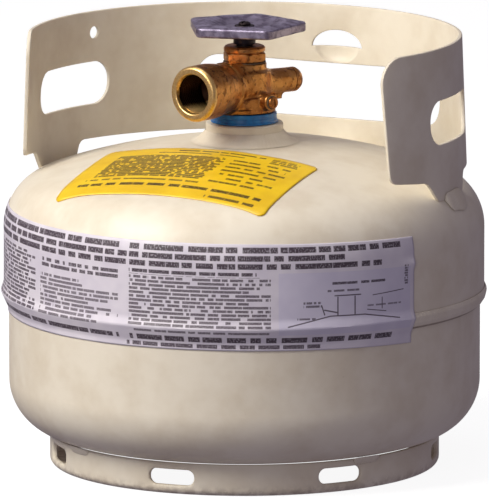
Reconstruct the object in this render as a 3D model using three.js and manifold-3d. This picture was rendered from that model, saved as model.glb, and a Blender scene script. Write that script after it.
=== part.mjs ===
// A refillable LP-gas cylinder for caravans and camping: a squat two-piece steel shell on a slotted
// foot ring, a wrap-around collar with hand holes, and a brass valve with a handwheel.
// Millimetres, +Z up. The origin is on the floor under the middle of the foot ring, and the
// collar opens towards -Y. Bearings are degrees from -Y towards +X.

import * as THREE from 'three';
import { mergeVertices } from 'three/addons/utils/BufferGeometryUtils.js';
import Module from 'manifold-3d';

const wasm = await Module();
wasm.setup();

// ---- clearances ----
const GAP = 0.3; // between pieces that rest on each other
const RUNNING = 0.6; // between pieces that turn or slide in each other
const OVERRUN = 5; // how far a cutter runs past what it cuts

// ---- shell ----
const SHELL_R = 155;
const WALL = 2.4;
const KNUCKLE = 36;
const UPPER_CROWN = 400;
const LOWER_CROWN = 600;
const STRAIGHT = 99.2; // between the two heads' tangent lines
const FLOOR_CLEARANCE = 8.2; // under the middle of the lower head
const SKIRT = 45.5; // straight wall of the upper half, down to its lower edge
const LAP = 14; // how far the lower shell reaches up inside the upper skirt
const GIRTH_BEAD = 1.8; // how far the girth weld stands out of the skirt
const GIRTH_BEAD_ABOVE = 6.5;
const GIRTH_BEAD_BELOW = 3.5;

// ---- foot ring ----
const FOOT_INSET = 29; // from the shell's side in to the foot ring
const FOOT_WALL = 2.6;
const FOOT_LIP = 8; // inward flange that rests on the floor
const FOOT_SLOTS = 7;
const FOOT_SLOT_LONG = 31;
const FOOT_SLOT_HIGH = 10;
const FOOT_SLOT_Z = 11.2;
const FOOT_SLOT_FIRST = 4;
const FOOT_SLOT_ROUND = 0.98; // roundness of the slots' ends
const FOOT_WELDS = [-31, 64, 152, 241];
const FOOT_WELD_LONG = 20;
const FOOT_WELD_SIZE = 4;

// ---- collar, heights above the dome where the sheet meets it ----
const COLLAR_INSET = 11.5; // from the shell's side in to the collar's lower edge
const COLLAR_TAPER = 3.2; // how much smaller the collar's radius is at its rim
const COLLAR_HIGH = 98.1;
const COLLAR_WALL = 2.6;
const COLLAR_END = 64; // bearing of the collar's ends
const COLLAR_END_LEAN = 2.5; // how much further round the ends stand at their lower corners
const COLLAR_END_CORNER = 17;
const COLLAR_LOWER_CORNER = 7;
const COLLAR_EDGE = 13.6; // straight lower edge between the feet
const COLLAR_END_EDGE = 17.1;
const COLLAR_FOOT_FROM = 86;
const COLLAR_FOOT_TO = 103;
const COLLAR_FOOT_SLOPE = 13; // how far along the end's lower edge the foot flares out
const COLLAR_BACK_FOOT = 15; // half angle of the foot at the back
const HAND_HOLE_AT = 98.8;
const HAND_HOLE_HALF = 15.8;
const HAND_HOLE_BOTTOM = 36.5;
const HAND_HOLE_TOP = 64.6;
const HAND_HOLE_CORNER = 13;
const WINDOW_HALF = 39;
const WINDOW_BOTTOM = 28.6;
const WINDOW_TOP = 65.1;
const WINDOW_DIP = 6; // the window's edges sag by this in the middle
const WINDOW_CORNER = 17;
const VENT_HALF = 18.5;
const VENT_BOTTOM = 70.1;
const VENT_HIGH = 11.3;
const TAG_HOLE_AT = -109;
const TAG_HOLE_R = 4;
const TAG_HOLE_HEIGHT = 83.9;
const COLLAR_WELD_SIZE = 6;
const COLLAR_WELD_HALF = 5.5;

// ---- valve boss ----
const BOSS_ABOVE_CROWN = 11.1;
const BOSS_R = 25;
const BOSS_LENGTH = 27;
const BOSS_FLANGE_R = 29;
const BOSS_FLANGE_THICK = 4;
const BOSS_WELD_REACH = 10;
const BOSS_WELD_HIGH = 6;

// ---- valve, heights above the top of the boss ----
const SHANK_R = 13.3;
const SHANK_DEPTH = 24.6;
const SEAL_R = 21;
const SEAL_HIGH = 6.6;
const BASE_R = 20;
const BASE_HIGH = 3;
const WRENCH_R = 23; // across the corners of the hexagon, halved
const WRENCH_HIGH = 7.5;
const CHAMBER_R = 9;
const BONNET_THREAD_R = CHAMBER_R + 1.7;
const NECK_R = BONNET_THREAD_R + 3.5;
const BODY_R = NECK_R + 2;
const NECK_FROM = 33;
const BODY_TOP = 38.7;
const OUTLET_AT = -12;
const OUTLET_HEIGHT = 24.4;
const OUTLET_REACH = 54.6;
const OUTLET_R = 18;
const OUTLET_ROOT_R = 14;
const OUTLET_BORE_R = 11.5;
const OUTLET_MOUTH_R = 13.5;
const OUTLET_BORE_DEPTH = 25;
const OUTLET_NOSE_DEPTH = 6;
const INLET_R = 4.5;
const CHAMBER_FLOOR = 18.4;
const CROWN_R = 5.6;
const CROWN_TOP = 23.4;
const CROSS_R = 4; // hole from the chamber to the outlet

// ---- moving parts of the shut-off ----
const SEAT_R = 5.5;
const SEAT_THICK = 2.4;
const SPINDLE_HIGH = 7.2;
const SPINDLE_SLOT = 2.6;
const SPINDLE_SLOT_FLOOR = 2.2;
const LIFT = 2.4;
const TANG_THICK = 1.7;
const TANG_WIDE = 11;
const SHOULDER_R = 7.5;
const SHOULDER_HIGH = 2.4;
const STEM_R = 5;
const STEM_SQUARE = 6;
const O_RING_THICK = 1.6;
const O_RING_ABOVE = 4; // from the stem's shoulder to the middle of its O-ring
const BONNET_R = BONNET_THREAD_R + 3.8; // across the corners of the hexagon, halved
const BONNET_HEX_HIGH = 6;
const BONNET_COLLAR_R = BONNET_THREAD_R + 2.7;
const BONNET_HIGH = 10;
const BONNET_THREAD_LONG = 4.6;
const GASKET_THICK = 0.6;

// ---- handwheel ----
const WHEEL_SIDES = 5;
const WHEEL_R = 41; // to the sharp corners of the outline
const WHEEL_CORNER = 6;
const WHEEL_BEVEL = 1.2;
const WHEEL_CROWN = 3; // how much lower the top is at the rim than round the dish
const WHEEL_HIGH = 7;
const WHEEL_ABOVE_BONNET = 9;
const WHEEL_TURN = 13; // how far the outline is turned about its axis at rest
const HUB_R = 7.2;
const WEB_THICK = 2;
const WEB_UNDER = 1; // from the wheel's underside up to the web
const DISH_TOP_R = 27;
const DISH_FLOOR_R = 13;
const WASHER_R = 6.4;
const WASHER_THICK = 0.8;
const SCREW_HEAD_R = 4.2;
const SCREW_HEAD_HIGH = 2.3;
const SCREW_R = 1.6;
const SCREW_LONG = 9;

// ---- relief valve, lengths along its own axis from the valve's axis ----
const RELIEF_AT = 151;
const RELIEF_BORE_R = 6;
const RELIEF_R = RELIEF_BORE_R + 2;
const RELIEF_END = 36.2;
const RELIEF_SEAT_AT = 15;
const RELIEF_PORT_R = 2.2;
const RELIEF_DISC_R = 4.2;
const RELIEF_DISC_THICK = 1.7;
const POPPET_R = RELIEF_BORE_R - 0.8;
const POPPET_THICK = 2.7;
const POPPET_STEM_R = 1.4;
const POPPET_STEM_LONG = 8;
const RELIEF_LIFT = 1.8;
const SPRING_R = 3.5;
const SPRING_WIRE = 1.1;
const SPRING_TURNS = 5;
const CAP_TIP = 6.5; // from the end of the boss to the tip of the domed cap
const CAP_SPIGOT_LONG = 4.5;
const CAP_VENT_R = 2;
const RELIEF_PASSAGE_R = 1.4;
const RELIEF_PASSAGE_AT = 11.3;
const RELIEF_PASSAGE_Z = 10.4;

// ---- liquid-level bleeder ----
const BLEEDER_AT = 70;
const BLEEDER_HEIGHT = 15.2;
const BLEEDER_BOSS_R = 5.2;
const BLEEDER_END = 25;
const BLEEDER_BORE_R = 2.6;
const BLEEDER_HEAD_R = 4.1;
const BLEEDER_HEAD_THICK = 2.5;
const BLEEDER_WASHER_THICK = 0.7;
const BLEEDER_SEAT_AT = 11.5;
const DIP_TUBE_AT = 9;
const DIP_TUBE_R = 2;
const DIP_TUBE_BORE_R = 1.2;
const DIP_TUBE_SOCKET = 8;
const DIP_TUBE_LONG = 43;

// ---- labels ----
const LABEL_THICK = 0.35;
const WRAP_HALF = 70;
const WRAP_BELOW_SEAM = 10.3;
const WRAP_ON_SHOULDER = 13.1; // how far it laps over the dome's knuckle
const WRAP_SLOPE = 2.2; // how much lower the label lies at its +X end than in the middle
const DOME_LABEL_NEAR = 40;
const DOME_LABEL_DEEP = 83;
const DOME_LABEL_LEFT = -76;
const DOME_LABEL_RIGHT = 73;

// ---- facets ----
const ROUND = 36; // around the shell and what follows it
const MID_ROUND = 20; // around the valve's bores and fittings
const SMALL_ROUND = 12;
const KNUCKLE_STEPS = 4;
const CROWN_STEPS = 2;
const CORNER_STEPS = 2;

const DEGREE = Math.PI / 180;

// ---- helpers ----

// A closed geometry as a manifold solid.
function solid(geometry) {
  const bare = geometry.clone();
  bare.deleteAttribute('normal');
  bare.deleteAttribute('uv');
  const merged = mergeVertices(bare);
  const corners = merged.index.array;
  const kept = [];
  for (let i = 0; i < corners.length; i += 3) {
    const [a, b, c] = [corners[i], corners[i + 1], corners[i + 2]];
    if (a !== b && b !== c && c !== a) kept.push(a, b, c);
  }
  return new wasm.Manifold(new wasm.Mesh({
    numProp: 3,
    vertProperties: Float32Array.from(merged.attributes.position.array),
    triVerts: Uint32Array.from(kept),
  }));
}

function geometryOf(manifold) {
  const mesh = manifold.getMesh();
  const geometry = new THREE.BufferGeometry();
  geometry.setAttribute('position', new THREE.BufferAttribute(Float32Array.from(mesh.vertProperties), 3));
  geometry.setIndex(new THREE.BufferAttribute(Uint32Array.from(mesh.triVerts), 1));
  geometry.computeVertexNormals();
  return geometry;
}

// A profile of [radius, height] points turned about +Z; it runs up its outer side and down its inner one.
function revolve(profile, sides) {
  const points = profile.map(([radius, height]) => new THREE.Vector2(radius, height));
  return solid(new THREE.LatheGeometry(points, sides).rotateX(Math.PI / 2));
}

function ring(inner, outer, from, to, sides) {
  return revolve([[inner, from], [outer, from], [outer, to], [inner, to], [inner, from]], sides);
}

function rod(radius, from, to, sides) {
  return revolve([[0, from], [radius, from], [radius, to], [0, to]], sides);
}

function block(wide, deep, from, to) {
  return solid(new THREE.BoxGeometry(wide, deep, to - from).translate(0, 0, (from + to) / 2));
}

function hexagon(cornerRadius, from, to, turn) {
  const prism = new THREE.CylinderGeometry(cornerRadius, cornerRadius, to - from, 6);
  return solid(prism.rotateX(Math.PI / 2).rotateZ(turn * DEGREE).translate(0, 0, (from + to) / 2));
}

// Moves a solid that stands on +Z so that it lies along a bearing, at a height.
function lay(manifold, bearing, height) {
  return solid(geometryOf(manifold).rotateX(Math.PI / 2).rotateZ(bearing * DEGREE).translate(0, 0, height));
}

function shifted(manifold, x, y, z) {
  return solid(geometryOf(manifold).translate(x, y, z));
}

// An outline whose corners, given as [x, y, radius], are rounded by arcs.
function roundedShape(corners) {
  const shape = new THREE.Shape();
  corners.forEach(([x, y, radius], i) => {
    const here = new THREE.Vector2(x, y);
    const [lastX, lastY] = corners[(i + corners.length - 1) % corners.length];
    const [nextX, nextY] = corners[(i + 1) % corners.length];
    const back = new THREE.Vector2(lastX, lastY).sub(here).normalize();
    const ahead = new THREE.Vector2(nextX, nextY).sub(here).normalize();
    const half = Math.acos(THREE.MathUtils.clamp(back.dot(ahead), -1, 1)) / 2;
    const reach = radius > 0 ? radius / Math.tan(half) : 0;
    const start = back.clone().multiplyScalar(reach).add(here);
    if (i === 0) shape.moveTo(start.x, start.y);
    else shape.lineTo(start.x, start.y);
    if (radius > 0) {
      const middle = back.clone().add(ahead).normalize().multiplyScalar(radius / Math.sin(half)).add(here);
      const end = ahead.clone().multiplyScalar(reach).add(here);
      const [from, to] = [start.sub(middle).angle(), end.sub(middle).angle()];
      shape.absarc(middle.x, middle.y, radius, from, to, back.cross(ahead) > 0);
    }
  });
  shape.closePath();
  return shape;
}

// A cutter that spreads from the axis through an outline drawn on the unrolled wall:
// across is degrees of bearing from the given middle, up is height.
function radialCutter(shape, middle, unit) {
  const near = 20;
  const far = 3000;
  const geometry = new THREE.ExtrudeGeometry(shape, { depth: 1, bevelEnabled: false, curveSegments: CORNER_STEPS });
  const place = geometry.attributes.position;
  for (let i = 0; i < place.count; i++) {
    const bearing = (middle * DEGREE) + place.getX(i) / unit;
    const radius = near + (far - near) * place.getZ(i);
    place.setXYZ(i, radius * Math.sin(bearing), -radius * Math.cos(bearing), place.getY(i));
  }
  return solid(geometry);
}

// The piece of a solid between two bearings.
function sector(manifold, middle, half, lowest, highest) {
  const reach = half * DEGREE * COLLAR_WIDE_R;
  const outline = [[-reach, lowest, 0], [reach, lowest, 0], [reach, highest, 0], [-reach, highest, 0]];
  return manifold.intersect(radialCutter(roundedShape(outline), middle, COLLAR_WIDE_R));
}

// ---- shell surfaces ----

// A domed end: a knuckle arc from the straight wall to a wide crown. up is 1 or -1.
function head(radius, crown, tangent, up) {
  const inset = radius - KNUCKLE;
  const join = Math.acos(inset / (crown - KNUCKLE));
  return { inset, crown, tangent, up, join, centre: tangent - up * (crown - KNUCKLE) * Math.sin(join) };
}

// Profile points of a head from its wall to the axis, moved outwards by an offset.
function headPoints(end, offset) {
  const points = [];
  for (let i = 0; i <= KNUCKLE_STEPS; i++) {
    const angle = end.join * i / KNUCKLE_STEPS;
    const radius = KNUCKLE + offset;
    points.push([end.inset + radius * Math.cos(angle), end.tangent + end.up * radius * Math.sin(angle)]);
  }
  for (let i = 1; i <= CROWN_STEPS; i++) {
    const angle = end.join + (Math.PI / 2 - end.join) * i / CROWN_STEPS;
    const radius = end.crown + offset;
    const across = i === CROWN_STEPS ? 0 : radius * Math.cos(angle);
    points.push([across, end.centre + end.up * radius * Math.sin(angle)]);
  }
  return points;
}

// Height of a head's outer surface at a distance from the axis, moved outwards by an offset.
function headHeight(end, across, offset) {
  const knuckle = KNUCKLE + offset;
  const past = across - end.inset;
  if (past > knuckle * Math.cos(end.join)) {
    return end.tangent + end.up * Math.sqrt(knuckle ** 2 - past ** 2);
  }
  return end.centre + end.up * Math.sqrt((end.crown + offset) ** 2 - across ** 2);
}

const LOWER_R = SHELL_R - WALL - GAP;
const LOWER_DEEP = -headHeight(head(LOWER_R, LOWER_CROWN, 0, -1), 0, 0);
const LOWER_TANGENT_Z = FLOOR_CLEARANCE + LOWER_DEEP;
const UPPER_TANGENT_Z = LOWER_TANGENT_Z + STRAIGHT;
const SEAM_Z = UPPER_TANGENT_Z - SKIRT;
const UPPER = head(SHELL_R, UPPER_CROWN, UPPER_TANGENT_Z, 1);
const LOWER = head(LOWER_R, LOWER_CROWN, LOWER_TANGENT_Z, -1);
const FOOT_R = SHELL_R - FOOT_INSET;
const COLLAR_WIDE_R = SHELL_R - COLLAR_INSET;
const COLLAR_TOP_R = COLLAR_WIDE_R - COLLAR_TAPER;
const COLLAR_BASE_Z = headHeight(UPPER, COLLAR_WIDE_R, 0);
const COLLAR_TOP_Z = COLLAR_BASE_Z + COLLAR_HIGH;
const COLLAR_EDGE_Z = COLLAR_BASE_Z + COLLAR_EDGE;
const BOSS_TOP_Z = headHeight(UPPER, 0, 0) + BOSS_ABOVE_CROWN;

// Everything under the upper shell's outer surface, grown by a clearance.
function dome(clearance) {
  return revolve([
    [0, SEAM_Z],
    [SHELL_R + clearance, SEAM_Z],
    ...headPoints(UPPER, clearance),
  ], ROUND);
}

function upperShell() {
  const shell = revolve([
    ...headPoints(UPPER, -WALL).reverse(),
    [SHELL_R - WALL, SEAM_Z],
    [SHELL_R, SEAM_Z],
    ...headPoints(UPPER, 0),
  ], ROUND);
  return shell.subtract(rod(BOSS_R + GAP, SEAM_Z, BOSS_TOP_Z, ROUND));
}

function lowerShell() {
  return revolve([
    ...headPoints(LOWER, 0).reverse(),
    [LOWER_R, SEAM_Z + LAP],
    [LOWER_R - WALL, SEAM_Z + LAP],
    ...headPoints(LOWER, -WALL),
  ], ROUND);
}

// The girth weld fills the step under the skirt's edge and stands a little proud of it.
function girthOutline(offset) {
  const bottom = SEAM_Z - GIRTH_BEAD_BELOW;
  const top = SEAM_Z + GIRTH_BEAD_ABOVE;
  return [
    [LOWER_R + GAP + offset, bottom - offset],
    [LOWER_R + 1.6 + offset, bottom],
    [SHELL_R + 0.7 * GIRTH_BEAD + offset, SEAM_Z],
    [SHELL_R + GIRTH_BEAD + offset, SEAM_Z + 0.6 * GIRTH_BEAD_ABOVE],
    [SHELL_R + GAP + 0.3 + offset, top],
    [SHELL_R + GAP + offset, top + offset],
  ];
}

function girthWeld() {
  const outline = girthOutline(0);
  return revolve([
    ...outline,
    [SHELL_R + GAP, SEAM_Z - GAP],
    [LOWER_R + GAP, SEAM_Z - GAP],
    outline[0],
  ], ROUND);
}

// ---- foot ring ----

const FOOT_TOP_Z = headHeight(LOWER, FOOT_R - FOOT_WALL, GAP);

function footRing() {
  const inner = FOOT_R - FOOT_WALL;
  let foot = revolve([
    [inner - FOOT_LIP, 0],
    [FOOT_R - 1, 0],
    [FOOT_R, 1],
    [FOOT_R, FOOT_TOP_Z],
    [inner, FOOT_TOP_Z],
    [inner, FOOT_WALL],
    [inner - FOOT_LIP, FOOT_WALL],
    [inner - FOOT_LIP, 0],
  ], ROUND);
  const half = FOOT_SLOT_LONG / 2;
  const low = FOOT_SLOT_Z - FOOT_SLOT_HIGH / 2;
  const high = FOOT_SLOT_Z + FOOT_SLOT_HIGH / 2;
  const end = 0.5 * FOOT_SLOT_ROUND * FOOT_SLOT_HIGH;
  const slot = roundedShape([[-half, low, end], [half, low, end], [half, high, end], [-half, high, end]]);
  for (let i = 0; i < FOOT_SLOTS; i++) {
    foot = foot.subtract(radialCutter(slot, FOOT_SLOT_FIRST + i * 360 / FOOT_SLOTS, FOOT_R));
  }
  return foot;
}

// A short bead in the corner between the foot ring's outside and the lower head.
function footWeld(bearing) {
  const inner = FOOT_R + GAP;
  const low = FOOT_TOP_Z - FOOT_WELD_SIZE;
  const under = (across) => headHeight(LOWER, across, 2 * GAP);
  const bead = revolve([
    [inner, low],
    [inner + 0.6 * FOOT_WELD_SIZE, low + 0.3 * FOOT_WELD_SIZE],
    [inner + FOOT_WELD_SIZE, under(inner + FOOT_WELD_SIZE)],
    [inner, under(inner)],
    [inner, low],
  ], ROUND);
  const half = FOOT_WELD_LONG / 2 / FOOT_R / DEGREE;
  return sector(bead, bearing, half, low - OVERRUN, low + 3 * OVERRUN);
}

// ---- collar ----

const COLLAR_HALF_TURN = 180;

function along(degrees) {
  return degrees * DEGREE * COLLAR_WIDE_R;
}

// The gap at the front, with the collar's rounded upper corners.
function frontGap() {
  const end = along(COLLAR_END);
  const low = along(COLLAR_END + COLLAR_END_LEAN);
  const beyond = COLLAR_TOP_Z + OVERRUN;
  const flare = COLLAR_END_CORNER;
  const right = [
    [low, COLLAR_EDGE_Z - 4 * OVERRUN, 0],
    [end, COLLAR_TOP_Z - 0.5, COLLAR_END_CORNER],
    [end + 2 * flare, COLLAR_TOP_Z - 0.5 + GAP, 0],
    [end + 2 * flare, beyond, 0],
  ];
  const left = right.map(([x, y, radius]) => [-x, y, radius]).reverse();
  return radialCutter(roundedShape([...right, ...left]), 0, COLLAR_WIDE_R);
}

// What is cut away under the lower edge, from a foot round to the collar's end.
function endUndercut(side) {
  const foot = along(COLLAR_FOOT_FROM - HAND_HOLE_AT);
  const end = along(COLLAR_END + COLLAR_END_LEAN - HAND_HOLE_AT);
  const endEdge = COLLAR_BASE_Z + COLLAR_END_EDGE;
  const floor = COLLAR_EDGE_Z - 6 * OVERRUN;
  const corners = [
    [foot, floor, 0],
    [foot, COLLAR_BASE_Z + GAP, 0],
    [foot - COLLAR_FOOT_SLOPE, COLLAR_EDGE_Z, 8],
    [end + COLLAR_LOWER_CORNER, endEdge, 0],
    [end, endEdge + COLLAR_LOWER_CORNER, 0],
    [end - 3 * OVERRUN, endEdge + COLLAR_LOWER_CORNER, 0],
    [end - 3 * OVERRUN, floor, 0],
  ];
  const outline = corners.map(([x, y, radius]) => [side * x, y, radius]);
  return radialCutter(roundedShape(side > 0 ? outline : outline.reverse()), side * HAND_HOLE_AT, COLLAR_WIDE_R);
}

// What is cut away under the lower edge between a side foot and the back foot.
function sideUndercut(side) {
  const from = COLLAR_FOOT_TO;
  const to = COLLAR_HALF_TURN - COLLAR_BACK_FOOT;
  const half = along((to - from) / 2);
  const floor = COLLAR_EDGE_Z - 6 * OVERRUN;
  const outline = [[-half, floor, 0], [half, floor, 0], [half, COLLAR_EDGE_Z, 6], [-half, COLLAR_EDGE_Z, 6]];
  return radialCutter(roundedShape(outline), side * (from + to) / 2, COLLAR_WIDE_R);
}

function handHole(side) {
  const half = along(HAND_HOLE_HALF);
  const low = COLLAR_BASE_Z + HAND_HOLE_BOTTOM;
  const high = COLLAR_BASE_Z + HAND_HOLE_TOP;
  const corner = HAND_HOLE_CORNER;
  const outline = [[-half, low, corner], [half, low, corner], [half, high, corner], [-half, high, corner]];
  return radialCutter(roundedShape(outline), side * HAND_HOLE_AT, COLLAR_WIDE_R);
}

// The wide window at the back: both long edges sag towards the middle.
function backWindow() {
  const half = along(WINDOW_HALF);
  const bottom = COLLAR_BASE_Z + WINDOW_BOTTOM;
  const top = COLLAR_BASE_Z + WINDOW_TOP;
  const steps = 8;
  const sag = (across) => WINDOW_DIP * (1 - (across / half) ** 2);
  const edge = (z, from, to) => Array.from({ length: steps - 1 }, (_, i) => {
    const across = from + (to - from) * (i + 1) / steps;
    return [across, z - sag(across), 0];
  });
  return radialCutter(roundedShape([
    [-half, bottom, WINDOW_CORNER],
    ...edge(bottom, -half, half),
    [half, bottom, WINDOW_CORNER],
    [half, top, WINDOW_CORNER],
    ...edge(top, half, -half),
    [-half, top, WINDOW_CORNER],
  ]), COLLAR_HALF_TURN, COLLAR_WIDE_R);
}

// The half-moon vent over the window: flat below, arched above.
function vent() {
  const shape = new THREE.Shape();
  shape.absellipse(0, COLLAR_BASE_Z + VENT_BOTTOM, VENT_HALF, VENT_HIGH, 0, Math.PI, false);
  shape.closePath();
  return radialCutter(shape, COLLAR_HALF_TURN, COLLAR_WIDE_R);
}

function tagHole() {
  const shape = new THREE.Shape();
  shape.absarc(0, COLLAR_BASE_Z + TAG_HOLE_HEIGHT, TAG_HOLE_R, 0, 2 * Math.PI, false);
  return radialCutter(shape, TAG_HOLE_AT, COLLAR_WIDE_R);
}

function collar() {
  const bottom = UPPER_TANGENT_Z;
  const widen = (COLLAR_WIDE_R - COLLAR_TOP_R) / (COLLAR_TOP_Z - COLLAR_EDGE_Z);
  const bottomR = COLLAR_TOP_R + widen * (COLLAR_TOP_Z - bottom);
  const band = revolve([
    [bottomR - COLLAR_WALL, bottom],
    [bottomR, bottom],
    [COLLAR_TOP_R, COLLAR_TOP_Z],
    [COLLAR_TOP_R - COLLAR_WALL, COLLAR_TOP_Z],
    [bottomR - COLLAR_WALL, bottom],
  ], ROUND);
  let sheet = band.subtract(dome(GAP)).subtract(frontGap()).subtract(backWindow());
  for (const side of [1, -1]) {
    sheet = sheet.subtract(endUndercut(side)).subtract(sideUndercut(side)).subtract(handHole(side));
  }
  return sheet.subtract(vent()).subtract(tagHole());
}

// A bead along the outside of a foot, between the sheet and the dome.
function collarWeld(bearing, half) {
  const inner = COLLAR_WIDE_R + 2.5 * GAP;
  const size = COLLAR_WELD_SIZE;
  const over = (across) => headHeight(UPPER, across, 2 * GAP);
  const bead = revolve([
    [inner, over(inner)],
    [inner + 0.5 * size, over(inner + 0.5 * size)],
    [inner + size, over(inner + size)],
    [inner + 0.55 * size, over(inner + 0.5 * size) + 0.45 * size],
    [inner, over(inner) + 0.8 * size],
    [inner, over(inner)],
  ], ROUND);
  return sector(bead, bearing, half, UPPER_TANGENT_Z, COLLAR_EDGE_Z + 2 * OVERRUN);
}

// ---- boss ----

function valveBoss() {
  const bottom = BOSS_TOP_Z - BOSS_LENGTH;
  const bore = SHANK_R + GAP;
  return revolve([
    [bore, bottom],
    [BOSS_FLANGE_R, bottom],
    [BOSS_FLANGE_R, bottom + BOSS_FLANGE_THICK],
    [BOSS_R, bottom + BOSS_FLANGE_THICK],
    [BOSS_R, BOSS_TOP_Z - 1],
    [BOSS_R - 1, BOSS_TOP_Z],
    [bore, BOSS_TOP_Z],
    [bore, bottom],
  ], ROUND);
}

function bossWeld() {
  const inner = BOSS_R + GAP;
  const over = (across) => headHeight(UPPER, across, 2 * GAP);
  return revolve([
    [inner, over(inner)],
    [inner + BOSS_WELD_REACH, over(inner + BOSS_WELD_REACH)],
    [inner + 0.45 * BOSS_WELD_REACH, over(inner) + 0.3 * BOSS_WELD_HIGH],
    [inner, over(inner) + BOSS_WELD_HIGH],
    [inner, over(inner)],
  ], ROUND);
}

// ---- valve; heights are above the top of the boss ----

const SEAL_TOP = GAP + SEAL_HIGH;
const BODY_BOTTOM = SEAL_TOP + GAP;
const WRENCH_TOP = BODY_BOTTOM + BASE_HIGH + WRENCH_HIGH;
const SEAT_BOTTOM = CROWN_TOP + GAP;
const SPINDLE_BOTTOM = SEAT_BOTTOM + SEAT_THICK + GAP;
const SPINDLE_TOP = SPINDLE_BOTTOM + SPINDLE_HIGH;
const SHOULDER_BOTTOM = SPINDLE_TOP + LIFT + GAP;
const SHOULDER_TOP = SHOULDER_BOTTOM + SHOULDER_HIGH;
const BONNET_WEB = SHOULDER_TOP + GAP;
const HEX_BOTTOM = BODY_TOP + GAP + GASKET_THICK + GAP;
const BONNET_TOP = HEX_BOTTOM + BONNET_HIGH;
const BONNET_THREAD_BOTTOM = BODY_TOP - BONNET_THREAD_LONG;
const SPINDLE_R = CHAMBER_R - RUNNING;
const STEM_BORE_R = STEM_R + RUNNING;
const WHEEL_BOTTOM = BONNET_TOP + WHEEL_ABOVE_BONNET;
const WHEEL_TOP = WHEEL_BOTTOM + WHEEL_HIGH;
const WEB_TOP = WHEEL_BOTTOM + WEB_UNDER + WEB_THICK;
const HUB_BOTTOM = BONNET_TOP + 1;
const SQUARE_BOTTOM = HUB_BOTTOM + 1;
const O_RING_Z = SHOULDER_TOP + O_RING_ABOVE;

function threadSeal() {
  return revolve([
    [SHANK_R + GAP, GAP],
    [SEAL_R + 1, GAP],
    [SEAL_R + 0.6, GAP + 0.8],
    [SEAL_R, GAP + 1.4],
    [SEAL_R - 0.3, SEAL_TOP],
    [SHANK_R + GAP, SEAL_TOP],
    [SHANK_R + GAP, GAP],
  ], ROUND);
}

// A small hole that runs parallel to the valve's axis, beside it on a bearing.
function drilling(radius, bearing, across, from, to) {
  const x = across * Math.sin(bearing * DEGREE);
  const y = -across * Math.cos(bearing * DEGREE);
  return shifted(rod(radius, from, to, SMALL_ROUND), x, y, 0);
}

function outletBarrel() {
  return lay(revolve([
    [0, 0],
    [OUTLET_ROOT_R, 0],
    [OUTLET_ROOT_R + 0.6, 0.3 * OUTLET_REACH],
    [OUTLET_R - 0.8, 0.58 * OUTLET_REACH],
    [OUTLET_R, 0.7 * OUTLET_REACH],
    [OUTLET_R, OUTLET_REACH - 2],
    [OUTLET_R - 1.2, OUTLET_REACH],
    [0, OUTLET_REACH],
  ], MID_ROUND), OUTLET_AT, OUTLET_HEIGHT);
}

function outletBore() {
  const floor = OUTLET_REACH - OUTLET_BORE_DEPTH;
  return lay(revolve([
    [0, 0.5 * CHAMBER_R],
    [CROSS_R, 0.5 * CHAMBER_R],
    [CROSS_R, floor - OUTLET_NOSE_DEPTH],
    [OUTLET_BORE_R, floor],
    [OUTLET_BORE_R, OUTLET_REACH - 3],
    [OUTLET_MOUTH_R, OUTLET_REACH],
    [OUTLET_MOUTH_R, OUTLET_REACH + OVERRUN],
    [0, OUTLET_REACH + OVERRUN],
  ], MID_ROUND), OUTLET_AT, OUTLET_HEIGHT);
}

function reliefBore() {
  return lay(revolve([
    [0, RELIEF_PASSAGE_AT - 1],
    [RELIEF_PORT_R, RELIEF_PASSAGE_AT - 1],
    [RELIEF_PORT_R, RELIEF_SEAT_AT],
    [RELIEF_BORE_R, RELIEF_SEAT_AT],
    [RELIEF_BORE_R, RELIEF_END + OVERRUN],
    [0, RELIEF_END + OVERRUN],
  ], MID_ROUND), RELIEF_AT, OUTLET_HEIGHT);
}

function bleederBore() {
  return lay(revolve([
    [0, DIP_TUBE_AT],
    [DIP_TUBE_BORE_R - 0.2, DIP_TUBE_AT],
    [DIP_TUBE_BORE_R - 0.2, BLEEDER_SEAT_AT],
    [BLEEDER_BORE_R, BLEEDER_SEAT_AT + 1],
    [BLEEDER_BORE_R, BLEEDER_END + OVERRUN],
    [0, BLEEDER_END + OVERRUN],
  ], SMALL_ROUND), BLEEDER_AT, BLEEDER_HEIGHT);
}

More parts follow.
